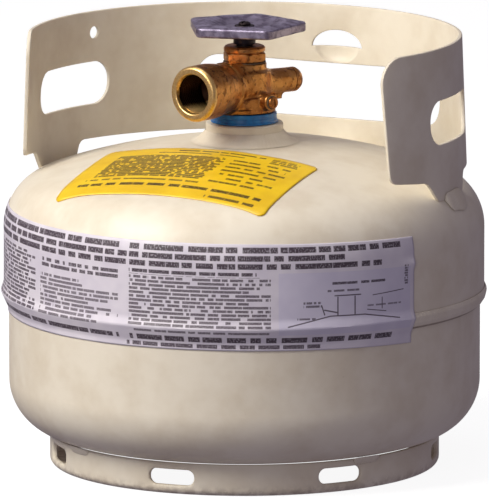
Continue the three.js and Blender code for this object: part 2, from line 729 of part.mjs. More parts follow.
function valveBody() {
  const forging = revolve([
    [0, -SHANK_DEPTH],
    [SHANK_R - 1, -SHANK_DEPTH],
    [SHANK_R, 1 - SHANK_DEPTH],
    [SHANK_R, BODY_BOTTOM],
    [BASE_R, BODY_BOTTOM],
    [BASE_R, BODY_BOTTOM + BASE_HIGH],
    [BODY_R, BODY_BOTTOM + BASE_HIGH + 1],
    [BODY_R, NECK_FROM],
    [NECK_R, NECK_FROM + 2],
    [NECK_R, BODY_TOP],
    [0, BODY_TOP],
  ], MID_ROUND);
  const wrench = hexagon(WRENCH_R, BODY_BOTTOM + BASE_HIGH - 0.5, WRENCH_TOP, OUTLET_AT + 8);
  const reliefBoss = lay(rod(RELIEF_R, 0, RELIEF_END, MID_ROUND), RELIEF_AT, OUTLET_HEIGHT);
  const bleederBoss = lay(rod(BLEEDER_BOSS_R, 0, BLEEDER_END, SMALL_ROUND), BLEEDER_AT, BLEEDER_HEIGHT);
  const outside = forging.add(wrench).add(outletBarrel()).add(reliefBoss).add(bleederBoss);

  const chamber = revolve([
    [0, CROWN_TOP],
    [CROWN_R, CROWN_TOP],
    [CROWN_R, CHAMBER_FLOOR],
    [CHAMBER_R, CHAMBER_FLOOR],
    [CHAMBER_R, BONNET_THREAD_BOTTOM - GAP],
    [BONNET_THREAD_R + GAP, BONNET_THREAD_BOTTOM - GAP],
    [BONNET_THREAD_R + GAP, BODY_TOP + OVERRUN],
    [0, BODY_TOP + OVERRUN],
  ], MID_ROUND);
  const inlet = rod(INLET_R, -SHANK_DEPTH - OVERRUN, CROWN_TOP + 1, MID_ROUND);
  const reliefReach = RELIEF_PASSAGE_AT + RELIEF_PASSAGE_R;
  const reliefDrill = lay(rod(RELIEF_PASSAGE_R, 0, reliefReach, SMALL_ROUND), RELIEF_AT, RELIEF_PASSAGE_Z);
  const reliefRise = drilling(RELIEF_PASSAGE_R, RELIEF_AT, RELIEF_PASSAGE_AT, RELIEF_PASSAGE_Z, OUTLET_HEIGHT);
  const tubeSocket = drilling(DIP_TUBE_R + GAP, BLEEDER_AT, DIP_TUBE_AT, -SHANK_DEPTH - 1, DIP_TUBE_SOCKET - SHANK_DEPTH);
  const tubeRise = drilling(DIP_TUBE_BORE_R, BLEEDER_AT, DIP_TUBE_AT, -SHANK_DEPTH, BLEEDER_HEIGHT);
  return [outletBore(), chamber, inlet, reliefBore(), reliefDrill, reliefRise, bleederBore(), tubeSocket, tubeRise]
    .reduce((body, hole) => body.subtract(hole), outside);
}

function dipTube() {
  const top = DIP_TUBE_SOCKET - SHANK_DEPTH - GAP;
  return ring(DIP_TUBE_BORE_R, DIP_TUBE_R, top - DIP_TUBE_LONG, top, SMALL_ROUND);
}

function bonnet() {
  const hex = hexagon(BONNET_R, HEX_BOTTOM, HEX_BOTTOM + BONNET_HEX_HIGH, OUTLET_AT + 20);
  const turned = revolve([
    [0, BONNET_THREAD_BOTTOM],
    [BONNET_THREAD_R, BONNET_THREAD_BOTTOM],
    [BONNET_THREAD_R, HEX_BOTTOM + 0.5 * BONNET_HEX_HIGH],
    [BONNET_THREAD_R, HEX_BOTTOM + BONNET_HEX_HIGH - 0.5],
    [BONNET_COLLAR_R, HEX_BOTTOM + BONNET_HEX_HIGH - 0.5],
    [BONNET_COLLAR_R, BONNET_TOP - 1.2],
    [BONNET_COLLAR_R - 1.2, BONNET_TOP],
    [0, BONNET_TOP],
  ], MID_ROUND);
  const stemHole = revolve([
    [0, BONNET_THREAD_BOTTOM - OVERRUN],
    [CHAMBER_R, BONNET_THREAD_BOTTOM - OVERRUN],
    [CHAMBER_R, BONNET_WEB],
    [STEM_BORE_R, BONNET_WEB],
    [STEM_BORE_R, BONNET_TOP + OVERRUN],
    [0, BONNET_TOP + OVERRUN],
  ], MID_ROUND);
  return hex.add(turned).subtract(stemHole);
}

function bonnetGasket() {
  return ring(BONNET_THREAD_R + 2 * GAP, NECK_R - 0.4, BODY_TOP + GAP, BODY_TOP + GAP + GASKET_THICK, MID_ROUND);
}

// ---- shut-off: seat, spindle, stem ----

function seatDisc() {
  return rod(SEAT_R, SEAT_BOTTOM, SEAT_BOTTOM + SEAT_THICK, MID_ROUND);
}

function lowerSpindle() {
  const turned = rod(SPINDLE_R, SPINDLE_BOTTOM, SPINDLE_TOP, MID_ROUND);
  const slot = block(4 * SPINDLE_R, SPINDLE_SLOT, SPINDLE_BOTTOM + SPINDLE_SLOT_FLOOR, SPINDLE_TOP + OVERRUN);
  return turned.subtract(slot);
}

function upperStem() {
  const tangBottom = SPINDLE_BOTTOM + SPINDLE_SLOT_FLOOR + LIFT + GAP;
  const groove = STEM_R - O_RING_THICK;
  const turned = revolve([
    [0, SHOULDER_BOTTOM],
    [SHOULDER_R, SHOULDER_BOTTOM],
    [SHOULDER_R, SHOULDER_TOP],
    [STEM_R, SHOULDER_TOP],
    [STEM_R, O_RING_Z - O_RING_THICK],
    [groove, O_RING_Z - O_RING_THICK],
    [groove, O_RING_Z + O_RING_THICK],
    [STEM_R, O_RING_Z + O_RING_THICK],
    [STEM_R, SQUARE_BOTTOM],
    [0, SQUARE_BOTTOM],
  ], MID_ROUND);
  const tang = block(TANG_WIDE, TANG_THICK, tangBottom, SHOULDER_BOTTOM + 0.5);
  const square = block(STEM_SQUARE, STEM_SQUARE, SQUARE_BOTTOM - 0.5, WEB_TOP - GAP);
  const screwHole = rod(SCREW_R + GAP, WEB_TOP - SCREW_LONG, WEB_TOP + OVERRUN, SMALL_ROUND);
  return turned.add(tang).add(square).subtract(screwHole);
}

function stemORing() {
  const middle = STEM_R - 0.5 * O_RING_THICK + 0.3 * GAP;
  const wire = 0.5 * O_RING_THICK - 0.3 * GAP;
  const profile = Array.from({ length: 9 }, (_, i) => {
    const angle = 2 * Math.PI * i / 8;
    return [middle + wire * Math.cos(angle), O_RING_Z + wire * Math.sin(angle)];
  });
  return revolve(profile, MID_ROUND);
}

// ---- handwheel ----

function handwheel() {
  const corners = Array.from({ length: WHEEL_SIDES }, (_, i) => {
    const angle = 2 * Math.PI * i / WHEEL_SIDES;
    return [WHEEL_R * Math.sin(angle), WHEEL_R * Math.cos(angle), WHEEL_CORNER];
  });
  const inset = 1 - WHEEL_BEVEL / (WHEEL_R * Math.cos(Math.PI / WHEEL_SIDES));
  const smaller = corners.reverse().map(([x, y, radius]) => [x * inset, y * inset, radius - WHEEL_BEVEL]);
  const slab = solid(new THREE.ExtrudeGeometry(roundedShape(smaller), {
    depth: WHEEL_HIGH - 2 * WHEEL_BEVEL,
    bevelThickness: WHEEL_BEVEL,
    bevelSize: WHEEL_BEVEL,
    bevelSegments: 1,
    curveSegments: CORNER_STEPS,
  }).translate(0, 0, WHEEL_BOTTOM + WHEEL_BEVEL));
  const crown = revolve([
    [0, WHEEL_BOTTOM - OVERRUN],
    [WHEEL_R + 1, WHEEL_BOTTOM - OVERRUN],
    [WHEEL_R + 1, WHEEL_TOP - WHEEL_CROWN],
    [DISH_TOP_R + 1, WHEEL_TOP],
    [0, WHEEL_TOP],
  ], ROUND);
  const dish = revolve([
    [0, WEB_TOP],
    [DISH_FLOOR_R, WEB_TOP],
    [DISH_TOP_R, WHEEL_TOP],
    [DISH_TOP_R, WHEEL_TOP + OVERRUN],
    [0, WHEEL_TOP + OVERRUN],
  ], ROUND);
  const relief = revolve([
    [0, WHEEL_BOTTOM - OVERRUN],
    [DISH_TOP_R, WHEEL_BOTTOM - OVERRUN],
    [DISH_TOP_R, WHEEL_BOTTOM],
    [DISH_FLOOR_R, WHEEL_BOTTOM + WEB_UNDER],
    [0, WHEEL_BOTTOM + WEB_UNDER],
  ], ROUND);
  const hub = rod(HUB_R, HUB_BOTTOM, WHEEL_BOTTOM + WEB_UNDER + 0.5, MID_ROUND);
  const squareHole = block(STEM_SQUARE + 2 * GAP, STEM_SQUARE + 2 * GAP, HUB_BOTTOM - OVERRUN, WEB_TOP + OVERRUN);
  const stemRoom = rod(STEM_BORE_R, HUB_BOTTOM - OVERRUN, SQUARE_BOTTOM + GAP, MID_ROUND);
  return slab.intersect(crown).subtract(dish).subtract(relief).add(hub).subtract(squareHole).subtract(stemRoom);
}

const WASHER_BOTTOM = WEB_TOP + GAP;
const SCREW_HEAD_BOTTOM = WASHER_BOTTOM + WASHER_THICK + GAP;

function handwheelWasher() {
  return ring(SCREW_R + GAP, WASHER_R, WASHER_BOTTOM, WASHER_BOTTOM + WASHER_THICK, MID_ROUND);
}

function handwheelScrew() {
  const top = SCREW_HEAD_BOTTOM + SCREW_HEAD_HIGH;
  const turned = revolve([
    [0, WEB_TOP - SCREW_LONG + 1],
    [SCREW_R, WEB_TOP - SCREW_LONG + 1],
    [SCREW_R, SCREW_HEAD_BOTTOM],
    [SCREW_HEAD_R, SCREW_HEAD_BOTTOM],
    [SCREW_HEAD_R, SCREW_HEAD_BOTTOM + 0.5 * SCREW_HEAD_HIGH],
    [0.7 * SCREW_HEAD_R, top],
    [0, top],
  ], MID_ROUND);
  const slot = block(1.1, 3 * SCREW_HEAD_R, SCREW_HEAD_BOTTOM + 0.5 * SCREW_HEAD_HIGH, top + OVERRUN);
  return turned.subtract(slot);
}

// ---- relief valve, modelled along +Z from the valve's axis ----

const DISC_BOTTOM = RELIEF_SEAT_AT + GAP;
const POPPET_BOTTOM = DISC_BOTTOM + RELIEF_DISC_THICK + GAP;
const POPPET_TOP = POPPET_BOTTOM + POPPET_THICK;
const CAP_BOTTOM = RELIEF_END - CAP_SPIGOT_LONG;

function reliefDisc() {
  return rod(RELIEF_DISC_R, DISC_BOTTOM, DISC_BOTTOM + RELIEF_DISC_THICK, MID_ROUND);
}

function reliefPoppet() {
  return revolve([
    [0, POPPET_BOTTOM],
    [POPPET_R, POPPET_BOTTOM],
    [POPPET_R, POPPET_TOP],
    [POPPET_STEM_R, POPPET_TOP],
    [POPPET_STEM_R, POPPET_TOP + POPPET_STEM_LONG],
    [0, POPPET_TOP + POPPET_STEM_LONG],
  ], MID_ROUND);
}

class Helix extends THREE.Curve {
  constructor(radius, from, to, turns) {
    super();
    Object.assign(this, { radius, from, to, turns });
  }

  getPoint(t, target = new THREE.Vector3()) {
    const angle = 2 * Math.PI * this.turns * t;
    const height = this.from + (this.to - this.from) * t;
    return target.set(this.radius * Math.cos(angle), this.radius * Math.sin(angle), height);
  }
}

function reliefSpring() {
  const from = POPPET_TOP + GAP + SPRING_WIRE / 2;
  const to = CAP_BOTTOM - GAP - RELIEF_LIFT - SPRING_WIRE / 2;
  const wire = new THREE.Shape();
  wire.absarc(0, 0, SPRING_WIRE / 2, 0, 2 * Math.PI, false);
  return solid(new THREE.ExtrudeGeometry(wire, {
    extrudePath: new Helix(SPRING_R, from, to, SPRING_TURNS),
    steps: 12 * SPRING_TURNS,
    curveSegments: 3,
  }));
}

function reliefCap() {
  const spigot = RELIEF_BORE_R - GAP;
  const from = RELIEF_END + GAP;
  const dome = Array.from({ length: 5 }, (_, i) => {
    const angle = 0.5 * Math.PI * 0.8 * i / 4;
    return [RELIEF_R * Math.cos(angle), from + 1 + (CAP_TIP - 1) * Math.sin(angle) / Math.sin(0.4 * Math.PI)];
  });
  return revolve([
    [CAP_VENT_R, CAP_BOTTOM],
    [spigot, CAP_BOTTOM],
    [spigot, from],
    [RELIEF_R, from],
    ...dome,
    [CAP_VENT_R, from + CAP_TIP],
    [CAP_VENT_R, CAP_BOTTOM],
  ], MID_ROUND);
}

// ---- bleeder, modelled along +Z from the valve's axis ----

const BLEEDER_WASHER_BOTTOM = BLEEDER_END + GAP;
const BLEEDER_HEAD_BOTTOM = BLEEDER_WASHER_BOTTOM + BLEEDER_WASHER_THICK + GAP;

function bleederWasher() {
  const top = BLEEDER_WASHER_BOTTOM + BLEEDER_WASHER_THICK;
  return ring(BLEEDER_BORE_R, BLEEDER_HEAD_R + 0.3, BLEEDER_WASHER_BOTTOM, top, MID_ROUND);
}

function bleederScrew() {
  const top = BLEEDER_HEAD_BOTTOM + BLEEDER_HEAD_THICK;
  const shank = BLEEDER_BORE_R - RUNNING;
  const tip = BLEEDER_SEAT_AT + 2 * GAP;
  const turned = revolve([
    [0, tip],
    [0.3 * shank, tip],
    [shank, tip + 2],
    [shank, BLEEDER_HEAD_BOTTOM],
    [BLEEDER_HEAD_R, BLEEDER_HEAD_BOTTOM],
    [BLEEDER_HEAD_R, top - 0.6],
    [BLEEDER_HEAD_R - 0.6, top],
    [0, top],
  ], MID_ROUND);
  return turned.subtract(block(3 * BLEEDER_HEAD_R, 1.1, top - 1.2, top + OVERRUN));
}

// ---- labels: thin skins over the shell, its girth weld and its dome ----

function labelSkin() {
  const outer = (offset) => [...girthOutline(offset), ...headPoints(UPPER, offset)];
  const near = outer(GAP);
  const far = outer(GAP + LABEL_THICK);
  const bottom = SEAM_Z - WRAP_BELOW_SEAM - 2 * OVERRUN;
  return revolve([
    ...near.reverse(),
    [LOWER_R + 2 * GAP, bottom],
    [LOWER_R + 2 * GAP + LABEL_THICK, bottom],
    ...far,
  ], ROUND);
}

function wrapLabel() {
  const half = along(WRAP_HALF);
  const steps = 14;
  const edge = (z, from, to) => Array.from({ length: steps + 1 }, (_, i) => {
    const across = from + (to - from) * i / steps;
    return [across, z - WRAP_SLOPE * across / half, 0];
  });
  const bottom = SEAM_Z - WRAP_BELOW_SEAM;
  const top = UPPER_TANGENT_Z + WRAP_ON_SHOULDER;
  const outline = [...edge(bottom, -half, half), ...edge(top, half, -half)];
  return labelSkin().intersect(radialCutter(roundedShape(outline), 0, COLLAR_WIDE_R));
}

function domeLabel() {
  const corner = 5;
  const far = DOME_LABEL_NEAR + DOME_LABEL_DEEP;
  const outline = roundedShape([
    [DOME_LABEL_LEFT, -far, corner],
    [DOME_LABEL_RIGHT, -far, corner],
    [DOME_LABEL_RIGHT, -DOME_LABEL_NEAR, corner],
    [DOME_LABEL_LEFT, -DOME_LABEL_NEAR, corner],
  ]);
  const cutter = new THREE.ExtrudeGeometry(outline, { depth: SHELL_R, bevelEnabled: false, curveSegments: 1 });
  return labelSkin().intersect(solid(cutter.translate(0, 0, UPPER_TANGENT_Z)));
}

// ---- materials ----

const paint = { color: '#ece4d0', roughness: 0.5, metalness: 0 };
const weldPaint = { color: '#e4dbc6', roughness: 0.6, metalness: 0 };
const brass = { color: '#c08a3c', roughness: 0.35, metalness: 1 };
const steel = { color: '#8f8f92', roughness: 0.35, metalness: 1 };
const cast = { color: '#8d8398', roughness: 0.42, metalness: 0.9 };
const rubber = { color: '#1d1b1b', roughness: 0.8, metalness: 0 };
const blue = { color: '#1569a8', roughness: 0.5, metalness: 0 };
const fibre = { color: '#7a6a52', roughness: 0.9, metalness: 0 };
const yellow = { color: '#f5cf14', roughness: 0.5, metalness: 0 };
const white = { color: '#ece8ec', roughness: 0.55, metalness: 0 };

function named(name, manifold, finish) {
  const mesh = new THREE.Mesh(geometryOf(manifold), new THREE.MeshStandardMaterial(finish));
  mesh.name = name;
  return mesh;
}

function group(...children) {
  const made = new THREE.Group();
  made.add(...children);
  return made;
}

// ---- assembly ----

const vessel = group(
  named('upper_shell', upperShell(), paint),
  named('lower_shell', lowerShell(), paint),
  named('girth_weld', girthWeld(), weldPaint),
  named('valve_boss', valveBoss(), paint),
  named('boss_weld', bossWeld(), weldPaint),
  named('foot_ring', footRing(), paint),
  ...FOOT_WELDS.map((bearing, i) => named(`foot_weld_${i + 1}`, footWeld(bearing), weldPaint)),
);

const FOOT_MIDDLE = (COLLAR_FOOT_FROM + COLLAR_FOOT_TO) / 2;
const guard = group(
  named('collar', collar(), paint),
  named('collar_weld_right', collarWeld(FOOT_MIDDLE, COLLAR_WELD_HALF), weldPaint),
  named('collar_weld_left', collarWeld(-FOOT_MIDDLE, COLLAR_WELD_HALF), weldPaint),
  named('collar_weld_back', collarWeld(COLLAR_HALF_TURN, COLLAR_WELD_HALF), weldPaint),
);

const labels = group(
  named('wrap_label', wrapLabel(), white),
  named('dome_label', domeLabel(), yellow),
);

const reliefValve = group(
  named('relief_disc', reliefDisc(), rubber),
  named('relief_poppet', reliefPoppet(), brass),
  named('relief_spring', reliefSpring(), steel),
  named('relief_cap', reliefCap(), brass),
);
reliefValve.rotation.set(Math.PI / 2, 0, RELIEF_AT * DEGREE, 'ZYX');
reliefValve.position.z = OUTLET_HEIGHT;

const bleeder = group(
  named('bleeder_washer', bleederWasher(), fibre),
  named('bleeder_screw', bleederScrew(), brass),
);
bleeder.rotation.set(Math.PI / 2, 0, BLEEDER_AT * DEGREE, 'ZYX');
bleeder.position.z = BLEEDER_HEIGHT;

const tube = named('dip_tube', dipTube(), brass);
tube.position.set(DIP_TUBE_AT * Math.sin(BLEEDER_AT * DEGREE), -DIP_TUBE_AT * Math.cos(BLEEDER_AT * DEGREE), 0);

const wheel = group(
  named('handwheel', handwheel(), cast),
  named('handwheel_washer', handwheelWasher(), steel),
  named('handwheel_screw', handwheelScrew(), steel),
  named('upper_stem', upperStem(), steel),
  named('stem_o_ring', stemORing(), rubber),
  named('lower_spindle', lowerSpindle(), brass),
  named('seat_disc', seatDisc(), rubber),
);
wheel.rotation.z = WHEEL_TURN * DEGREE;

const valve = group(
  named('thread_seal', threadSeal(), blue),
  named('valve_body', valveBody(), brass),
  named('bonnet', bonnet(), brass),
  named('bonnet_gasket', bonnetGasket(), fibre),
  tube,
  wheel,
  reliefValve,
  bleeder,
);
valve.position.z = BOSS_TOP_Z;

export default group(vessel, guard, labels, valve);
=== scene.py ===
"""A refillable LP-gas cylinder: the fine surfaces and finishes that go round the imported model.

Lengths are millimetres until a mesh is made. Bearings are degrees from -Y towards +X, as seen
from above, and the valve's axis is the cylinder's axis.
"""

import math

import bmesh
import bpy
import numpy as np
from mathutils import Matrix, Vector


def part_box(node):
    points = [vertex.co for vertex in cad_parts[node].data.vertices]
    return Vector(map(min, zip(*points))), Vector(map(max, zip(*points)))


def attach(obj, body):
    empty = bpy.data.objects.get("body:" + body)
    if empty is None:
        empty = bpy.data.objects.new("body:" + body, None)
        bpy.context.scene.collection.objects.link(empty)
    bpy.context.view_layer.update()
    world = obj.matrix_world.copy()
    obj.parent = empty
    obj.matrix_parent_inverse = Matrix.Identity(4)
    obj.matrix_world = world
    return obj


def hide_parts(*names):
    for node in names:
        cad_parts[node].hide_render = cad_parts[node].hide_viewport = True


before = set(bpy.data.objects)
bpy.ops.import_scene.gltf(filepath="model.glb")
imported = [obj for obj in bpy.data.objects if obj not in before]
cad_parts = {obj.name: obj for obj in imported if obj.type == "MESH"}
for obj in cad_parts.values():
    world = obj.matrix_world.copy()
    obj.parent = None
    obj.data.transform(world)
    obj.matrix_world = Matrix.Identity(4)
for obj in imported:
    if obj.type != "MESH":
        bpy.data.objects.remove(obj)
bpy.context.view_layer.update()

MM = 0.001
FIXED = "cylinder"


def lowest(node):
    """The lowest x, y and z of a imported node, in millimetres."""
    return np.array(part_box(node)[0]) / MM


def highest(node):
    """The highest x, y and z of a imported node, in millimetres."""
    return np.array(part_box(node)[1]) / MM


# ---- shell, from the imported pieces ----
SHELL_R = highest("upper_shell")[0]
LOWER_R = highest("lower_shell")[0]
WALL = 2.4
KNUCKLE = 36.0
UPPER_CROWN = 400.0
LOWER_CROWN = 600.0
SEAM_Z = lowest("upper_shell")[2]
UPPER_TANGENT_Z = SEAM_Z + 45.5
LOWER_TANGENT_Z = UPPER_TANGENT_Z - 99.2
LAP = 14.0
BEAD_LOW_Z = lowest("girth_weld")[2]
BEAD_TOP_Z = highest("girth_weld")[2]
BEAD_R = highest("girth_weld")[0]

# ---- foot ring ----
FOOT_R = highest("foot_ring")[0]
FOOT_TOP_Z = highest("foot_ring")[2]
FOOT_WALL = 2.6
FOOT_LIP = 8.0
FOOT_SLOTS = 7
FOOT_SLOT_LONG = 31.0
FOOT_SLOT_HIGH = 10.0
FOOT_SLOT_Z = 11.2
FOOT_SLOT_CORNER = 4.8
FOOT_SLOT_FIRST = 4.0
FOOT_WELDS = {1: -31, 2: 64, 3: 152, 4: 241}

# ---- collar ----
COLLAR_WIDE_R = SHELL_R - 11.5
COLLAR_TOP_R = COLLAR_WIDE_R - 3.2
COLLAR_TOP_Z = 280.0
COLLAR_EDGE_Z = 195.5
COLLAR_END_EDGE_Z = 199.0
COLLAR_WALL = 2.6
COLLAR_END = 64.0
COLLAR_END_LEAN = 2.5
COLLAR_FOOT = (86.0, 103.0)
COLLAR_FOOT_SLOPE = 13.0
COLLAR_BACK_FOOT = 15.0
COLLAR_WELDS = {"right": 94.5, "left": -94.5, "back": 180.0}
HAND_HOLE_AT = 98.8
HAND_HOLE_HALF = 15.8
HAND_HOLE_Z = (218.4, 246.5)
HAND_HOLE_CORNER = 13.0
WINDOW_HALF = 39.0
WINDOW_Z = (210.5, 247.0)
WINDOW_DIP = 6.0
WINDOW_CORNER = 17.0
VENT_HALF = 18.5
VENT_Z = 252.0
VENT_HIGH = 11.3
SCOOP_DEEP = 4.5
SCOOP_HIGH = 10.5
TAG_HOLE_AT = -109.0
TAG_HOLE_Z = 265.8
TAG_HOLE_R = 4.0

# ---- boss and valve ----
BOSS_R = 25.0
BOSS_TOP_Z = highest("valve_boss")[2]
BOSS_BOTTOM_Z = lowest("valve_boss")[2]
BOSS_BORE_R = 13.6
BOSS_WELD_REACH = 10.0
OUTLET_AT = -12.0
OUTLET_Z = BOSS_TOP_Z + 24.4
OUTLET_REACH = 54.6
RELIEF_AT = 151.0
RELIEF_END = 36.2
BLEEDER_AT = 70.0
BLEEDER_Z = BOSS_TOP_Z + 15.2
BLEEDER_END = 25.0
WHEEL_LOW_Z = BOSS_TOP_Z + 58.9
WHEEL_TOP_Z = highest("handwheel")[2]
WHEEL_SIDES = 5
WHEEL_FLAT_R = 41.0 * math.cos(math.pi / WHEEL_SIDES)
WHEEL_CORNER = 6.0
WHEEL_NORMAL = 13.0
WHEEL_CROWN = 1.4
WHEEL_SKIRT = 0.4
DISH_R = 27.0

# ---- labels ----
WRAP_HALF = 70.0
WRAP_LOW = SEAM_Z - 10.3
WRAP_HIGH = UPPER_TANGENT_Z + 13.1
WRAP_SLOPE = 2.2
DOME_LABEL_X = (-76.0, 73.0)
DOME_LABEL_Y = (-123.0, -40.0)

ROUND = 288
SNAP = 0.3
RIM = 0.7


# ==== shapes ====


def unit(vector):
    return vector / np.linalg.norm(vector)


def rounded(corners, closed=False, turn=12.0, run=5.0, hold=0.25):
    """Profile through corners (x, z, radius).

    Each corner becomes the arc that touches both of its sides, and each straight run longer than
    twice `hold` gets a point just inside each end and others no further apart than `run`.
    """
    places = [np.array(corner[:2], float) for corner in corners]
    count = len(places)
    pieces = []
    for i, (_, _, radius) in enumerate(corners):
        here = places[i]
        if radius == 0 or (not closed and i in (0, count - 1)):
            pieces.append(here[None])
            continue
        back = unit(places[i - 1] - here)
        ahead = unit(places[(i + 1) % count] - here)
        half = 0.5 * math.acos(np.clip(back @ ahead, -1, 1))
        centre = here + unit(back + ahead) * radius / math.sin(half)
        start = here + back * radius / math.tan(half) - centre
        end = here + ahead * radius / math.tan(half) - centre
        first = math.atan2(start[1], start[0])
        sweep = (math.atan2(end[1], end[0]) - first + math.pi) % (2 * math.pi) - math.pi
        steps = max(2, math.ceil(abs(math.degrees(sweep)) / turn))
        angles = first + sweep * np.linspace(0, 1, steps + 1)
        pieces.append(centre + radius * np.stack([np.cos(angles), np.sin(angles)], 1))
    path = np.concatenate(pieces)
    ends = np.roll(path, -1, axis=0) if closed else path[1:]
    dense = []
    for start, end in zip(path, ends):
        length = np.linalg.norm(end - start)
        stops = [0.0]
        if length > 4 * hold:
            between = max(1, math.ceil(length / run))
            stops += [hold / length, *(np.arange(1, between) / between), 1 - hold / length]
        dense.append(start + np.array(stops)[:, None] * (end - start))
    if not closed:
        dense.append(path[-1:])
    return np.concatenate(dense)


def head(radius, crown, tangent, up):
    """A dished head's two arcs: where crown and knuckle join, the lean there, and the crown's drop."""
    knuckle_r = radius - KNUCKLE
    lean = math.asin(knuckle_r / (crown - KNUCKLE))
    drop = (crown - KNUCKLE) * math.cos(lean)
    return {
        "radius": radius, "crown": crown, "tangent": tangent, "up": up,
        "knuckle_r": knuckle_r, "join": crown * math.sin(lean), "lean": lean, "drop": drop,
    }


UPPER = head(SHELL_R, UPPER_CROWN, UPPER_TANGENT_Z, 1)
LOWER = head(LOWER_R, LOWER_CROWN, LOWER_TANGENT_Z, -1)


def head_height(shape, across, offset=0.0):
    """Height of a head's skin over a distance from the axis: knuckle circle outside, crown inside."""
    across = np.asarray(across, float)
    crown = np.sqrt(np.maximum((shape["crown"] + offset) ** 2 - across**2, 0)) - shape["drop"]
    out = np.clip(across - shape["knuckle_r"], 0, KNUCKLE + offset)
    knuckle = np.sqrt(np.maximum((KNUCKLE + offset) ** 2 - out**2, 0))
    return shape["tangent"] + shape["up"] * np.where(across < shape["join"], crown, knuckle)


def head_line(shape, inner, offset=0.0, crown_steps=34, knuckle_steps=22):
    """Section of a head from `inner` out to the tangent line, as (distance, height) rows."""
    top = (shape["crown"] + offset) * math.sin(shape["lean"])
    across = np.linspace(inner, top, crown_steps)
    rise = np.sqrt((shape["crown"] + offset) ** 2 - across**2) - shape["drop"]
    crown = np.stack([across, shape["tangent"] + shape["up"] * rise], 1)
    angle = np.linspace(shape["lean"], math.pi / 2, knuckle_steps)[1:]
    radius = KNUCKLE + offset
    knuckle = np.stack([
        shape["knuckle_r"] + radius * np.sin(angle),
        shape["tangent"] + shape["up"] * radius * np.cos(angle),
    ], 1)
    return np.concatenate([crown, knuckle])


def quads(rows, columns, close_rows, close_columns):
    """Corner numbers of the quads of a grid whose points run along the columns first."""
    down = np.arange(rows if close_rows else rows - 1)[:, None]
    along = np.arange(columns if close_columns else columns - 1)[None]
    under = (down + 1) % rows
    after = (along + 1) % columns
    corners = [
        down * columns + along, down * columns + after,
        under * columns + after, under * columns + along,
    ]
    return np.stack([np.broadcast_to(c, (len(down), along.shape[1])).ravel() for c in corners], 1)


def mesh_of(name, points, faces):
    """A mesh from points in millimetres and quads, its doubles merged and its faces turned out."""
    mesh = bpy.data.meshes.new(name)
    mesh.vertices.add(len(points))
    mesh.vertices.foreach_set("co", (points * MM).astype(np.float32).ravel())
    mesh.loops.add(faces.size)
    mesh.loops.foreach_set("vertex_index", faces.astype(np.int32).ravel())
    mesh.polygons.add(len(faces))
    mesh.polygons.foreach_set("loop_start", np.arange(0, faces.size, faces.shape[1], dtype=np.int32))
    mesh.update(calc_edges=True)
    tidy_mesh(mesh)
    return mesh


def tidy_mesh(mesh, near=1e-6):
    """Merges points that lie together and turns every face outwards."""
    work = bmesh.new()
    work.from_mesh(mesh)
    bmesh.ops.remove_doubles(work, verts=work.verts, dist=near)
    bmesh.ops.recalc_face_normals(work, faces=work.faces)
    work.to_mesh(mesh)
    work.free()


def in_scene(name, data):
    """A new object for the data, linked to the scene at the origin."""
    thing = bpy.data.objects.new(name, data)
    bpy.context.scene.collection.objects.link(thing)
    return thing


def place(mesh, finish, body, slot, *stands_for, sharp=38.0, modifiers=()):
    """Puts a mesh in the scene as a piece on a body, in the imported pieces' stead."""
    mesh.shade_smooth()
    mesh.set_sharp_from_angle(angle=math.radians(sharp))
    piece = in_scene(mesh.name, mesh)
    mesh.materials.append(finish)
    for kind, settings in modifiers:
        modifier = piece.modifiers.new(kind.lower(), kind)
        for key, value in settings.items():
            setattr(modifier, key, value)
    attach(piece, body)
    if stands_for:
        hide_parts(*stands_for)
    return piece


def spun(profile, around=ROUND, ripple=None):
    """Points of a profile (radius, height) turned about the axis, and its quads.

    `ripple` is a function of (radius, height, angle) that returns both again.
    """
    profile = np.asarray(profile, float)
    angle = 2 * np.pi * np.arange(around) / around
    radius = np.repeat(profile[:, :1], around, 1)
    height = np.repeat(profile[:, 1:], around, 1)
    if ripple:
        radius, height = ripple(radius, height, angle[None])
    points = np.stack([radius * np.cos(angle), radius * np.sin(angle), height], 2)
    ring = len(profile) > 2 and profile[:, 0].min() > 1e-6
    return points.reshape(-1, 3), quads(len(profile), around, ring, True)


def ring_of(name, section, around, finish, body, slot, node, **looks):
    """A closed section turned about the axis and placed as a piece."""
    points, faces = spun(section, around)
    return place(mesh_of(name, points, faces), finish, body, slot, node, **looks)


def laid(points, bearing, height):
    """Turns points made about +Z so that +Z points outwards on a bearing, from the axis at a height."""
    turn = math.radians(bearing)
    x, y, z = points[:, 0], points[:, 1], points[:, 2]
    out = np.array([math.sin(turn), -math.cos(turn), 0])
    side = np.array([math.cos(turn), math.sin(turn), 0])
    up = np.array([0, 0, 1])
    return z[:, None] * out + x[:, None] * side + y[:, None] * up + np.array([0, 0, height])


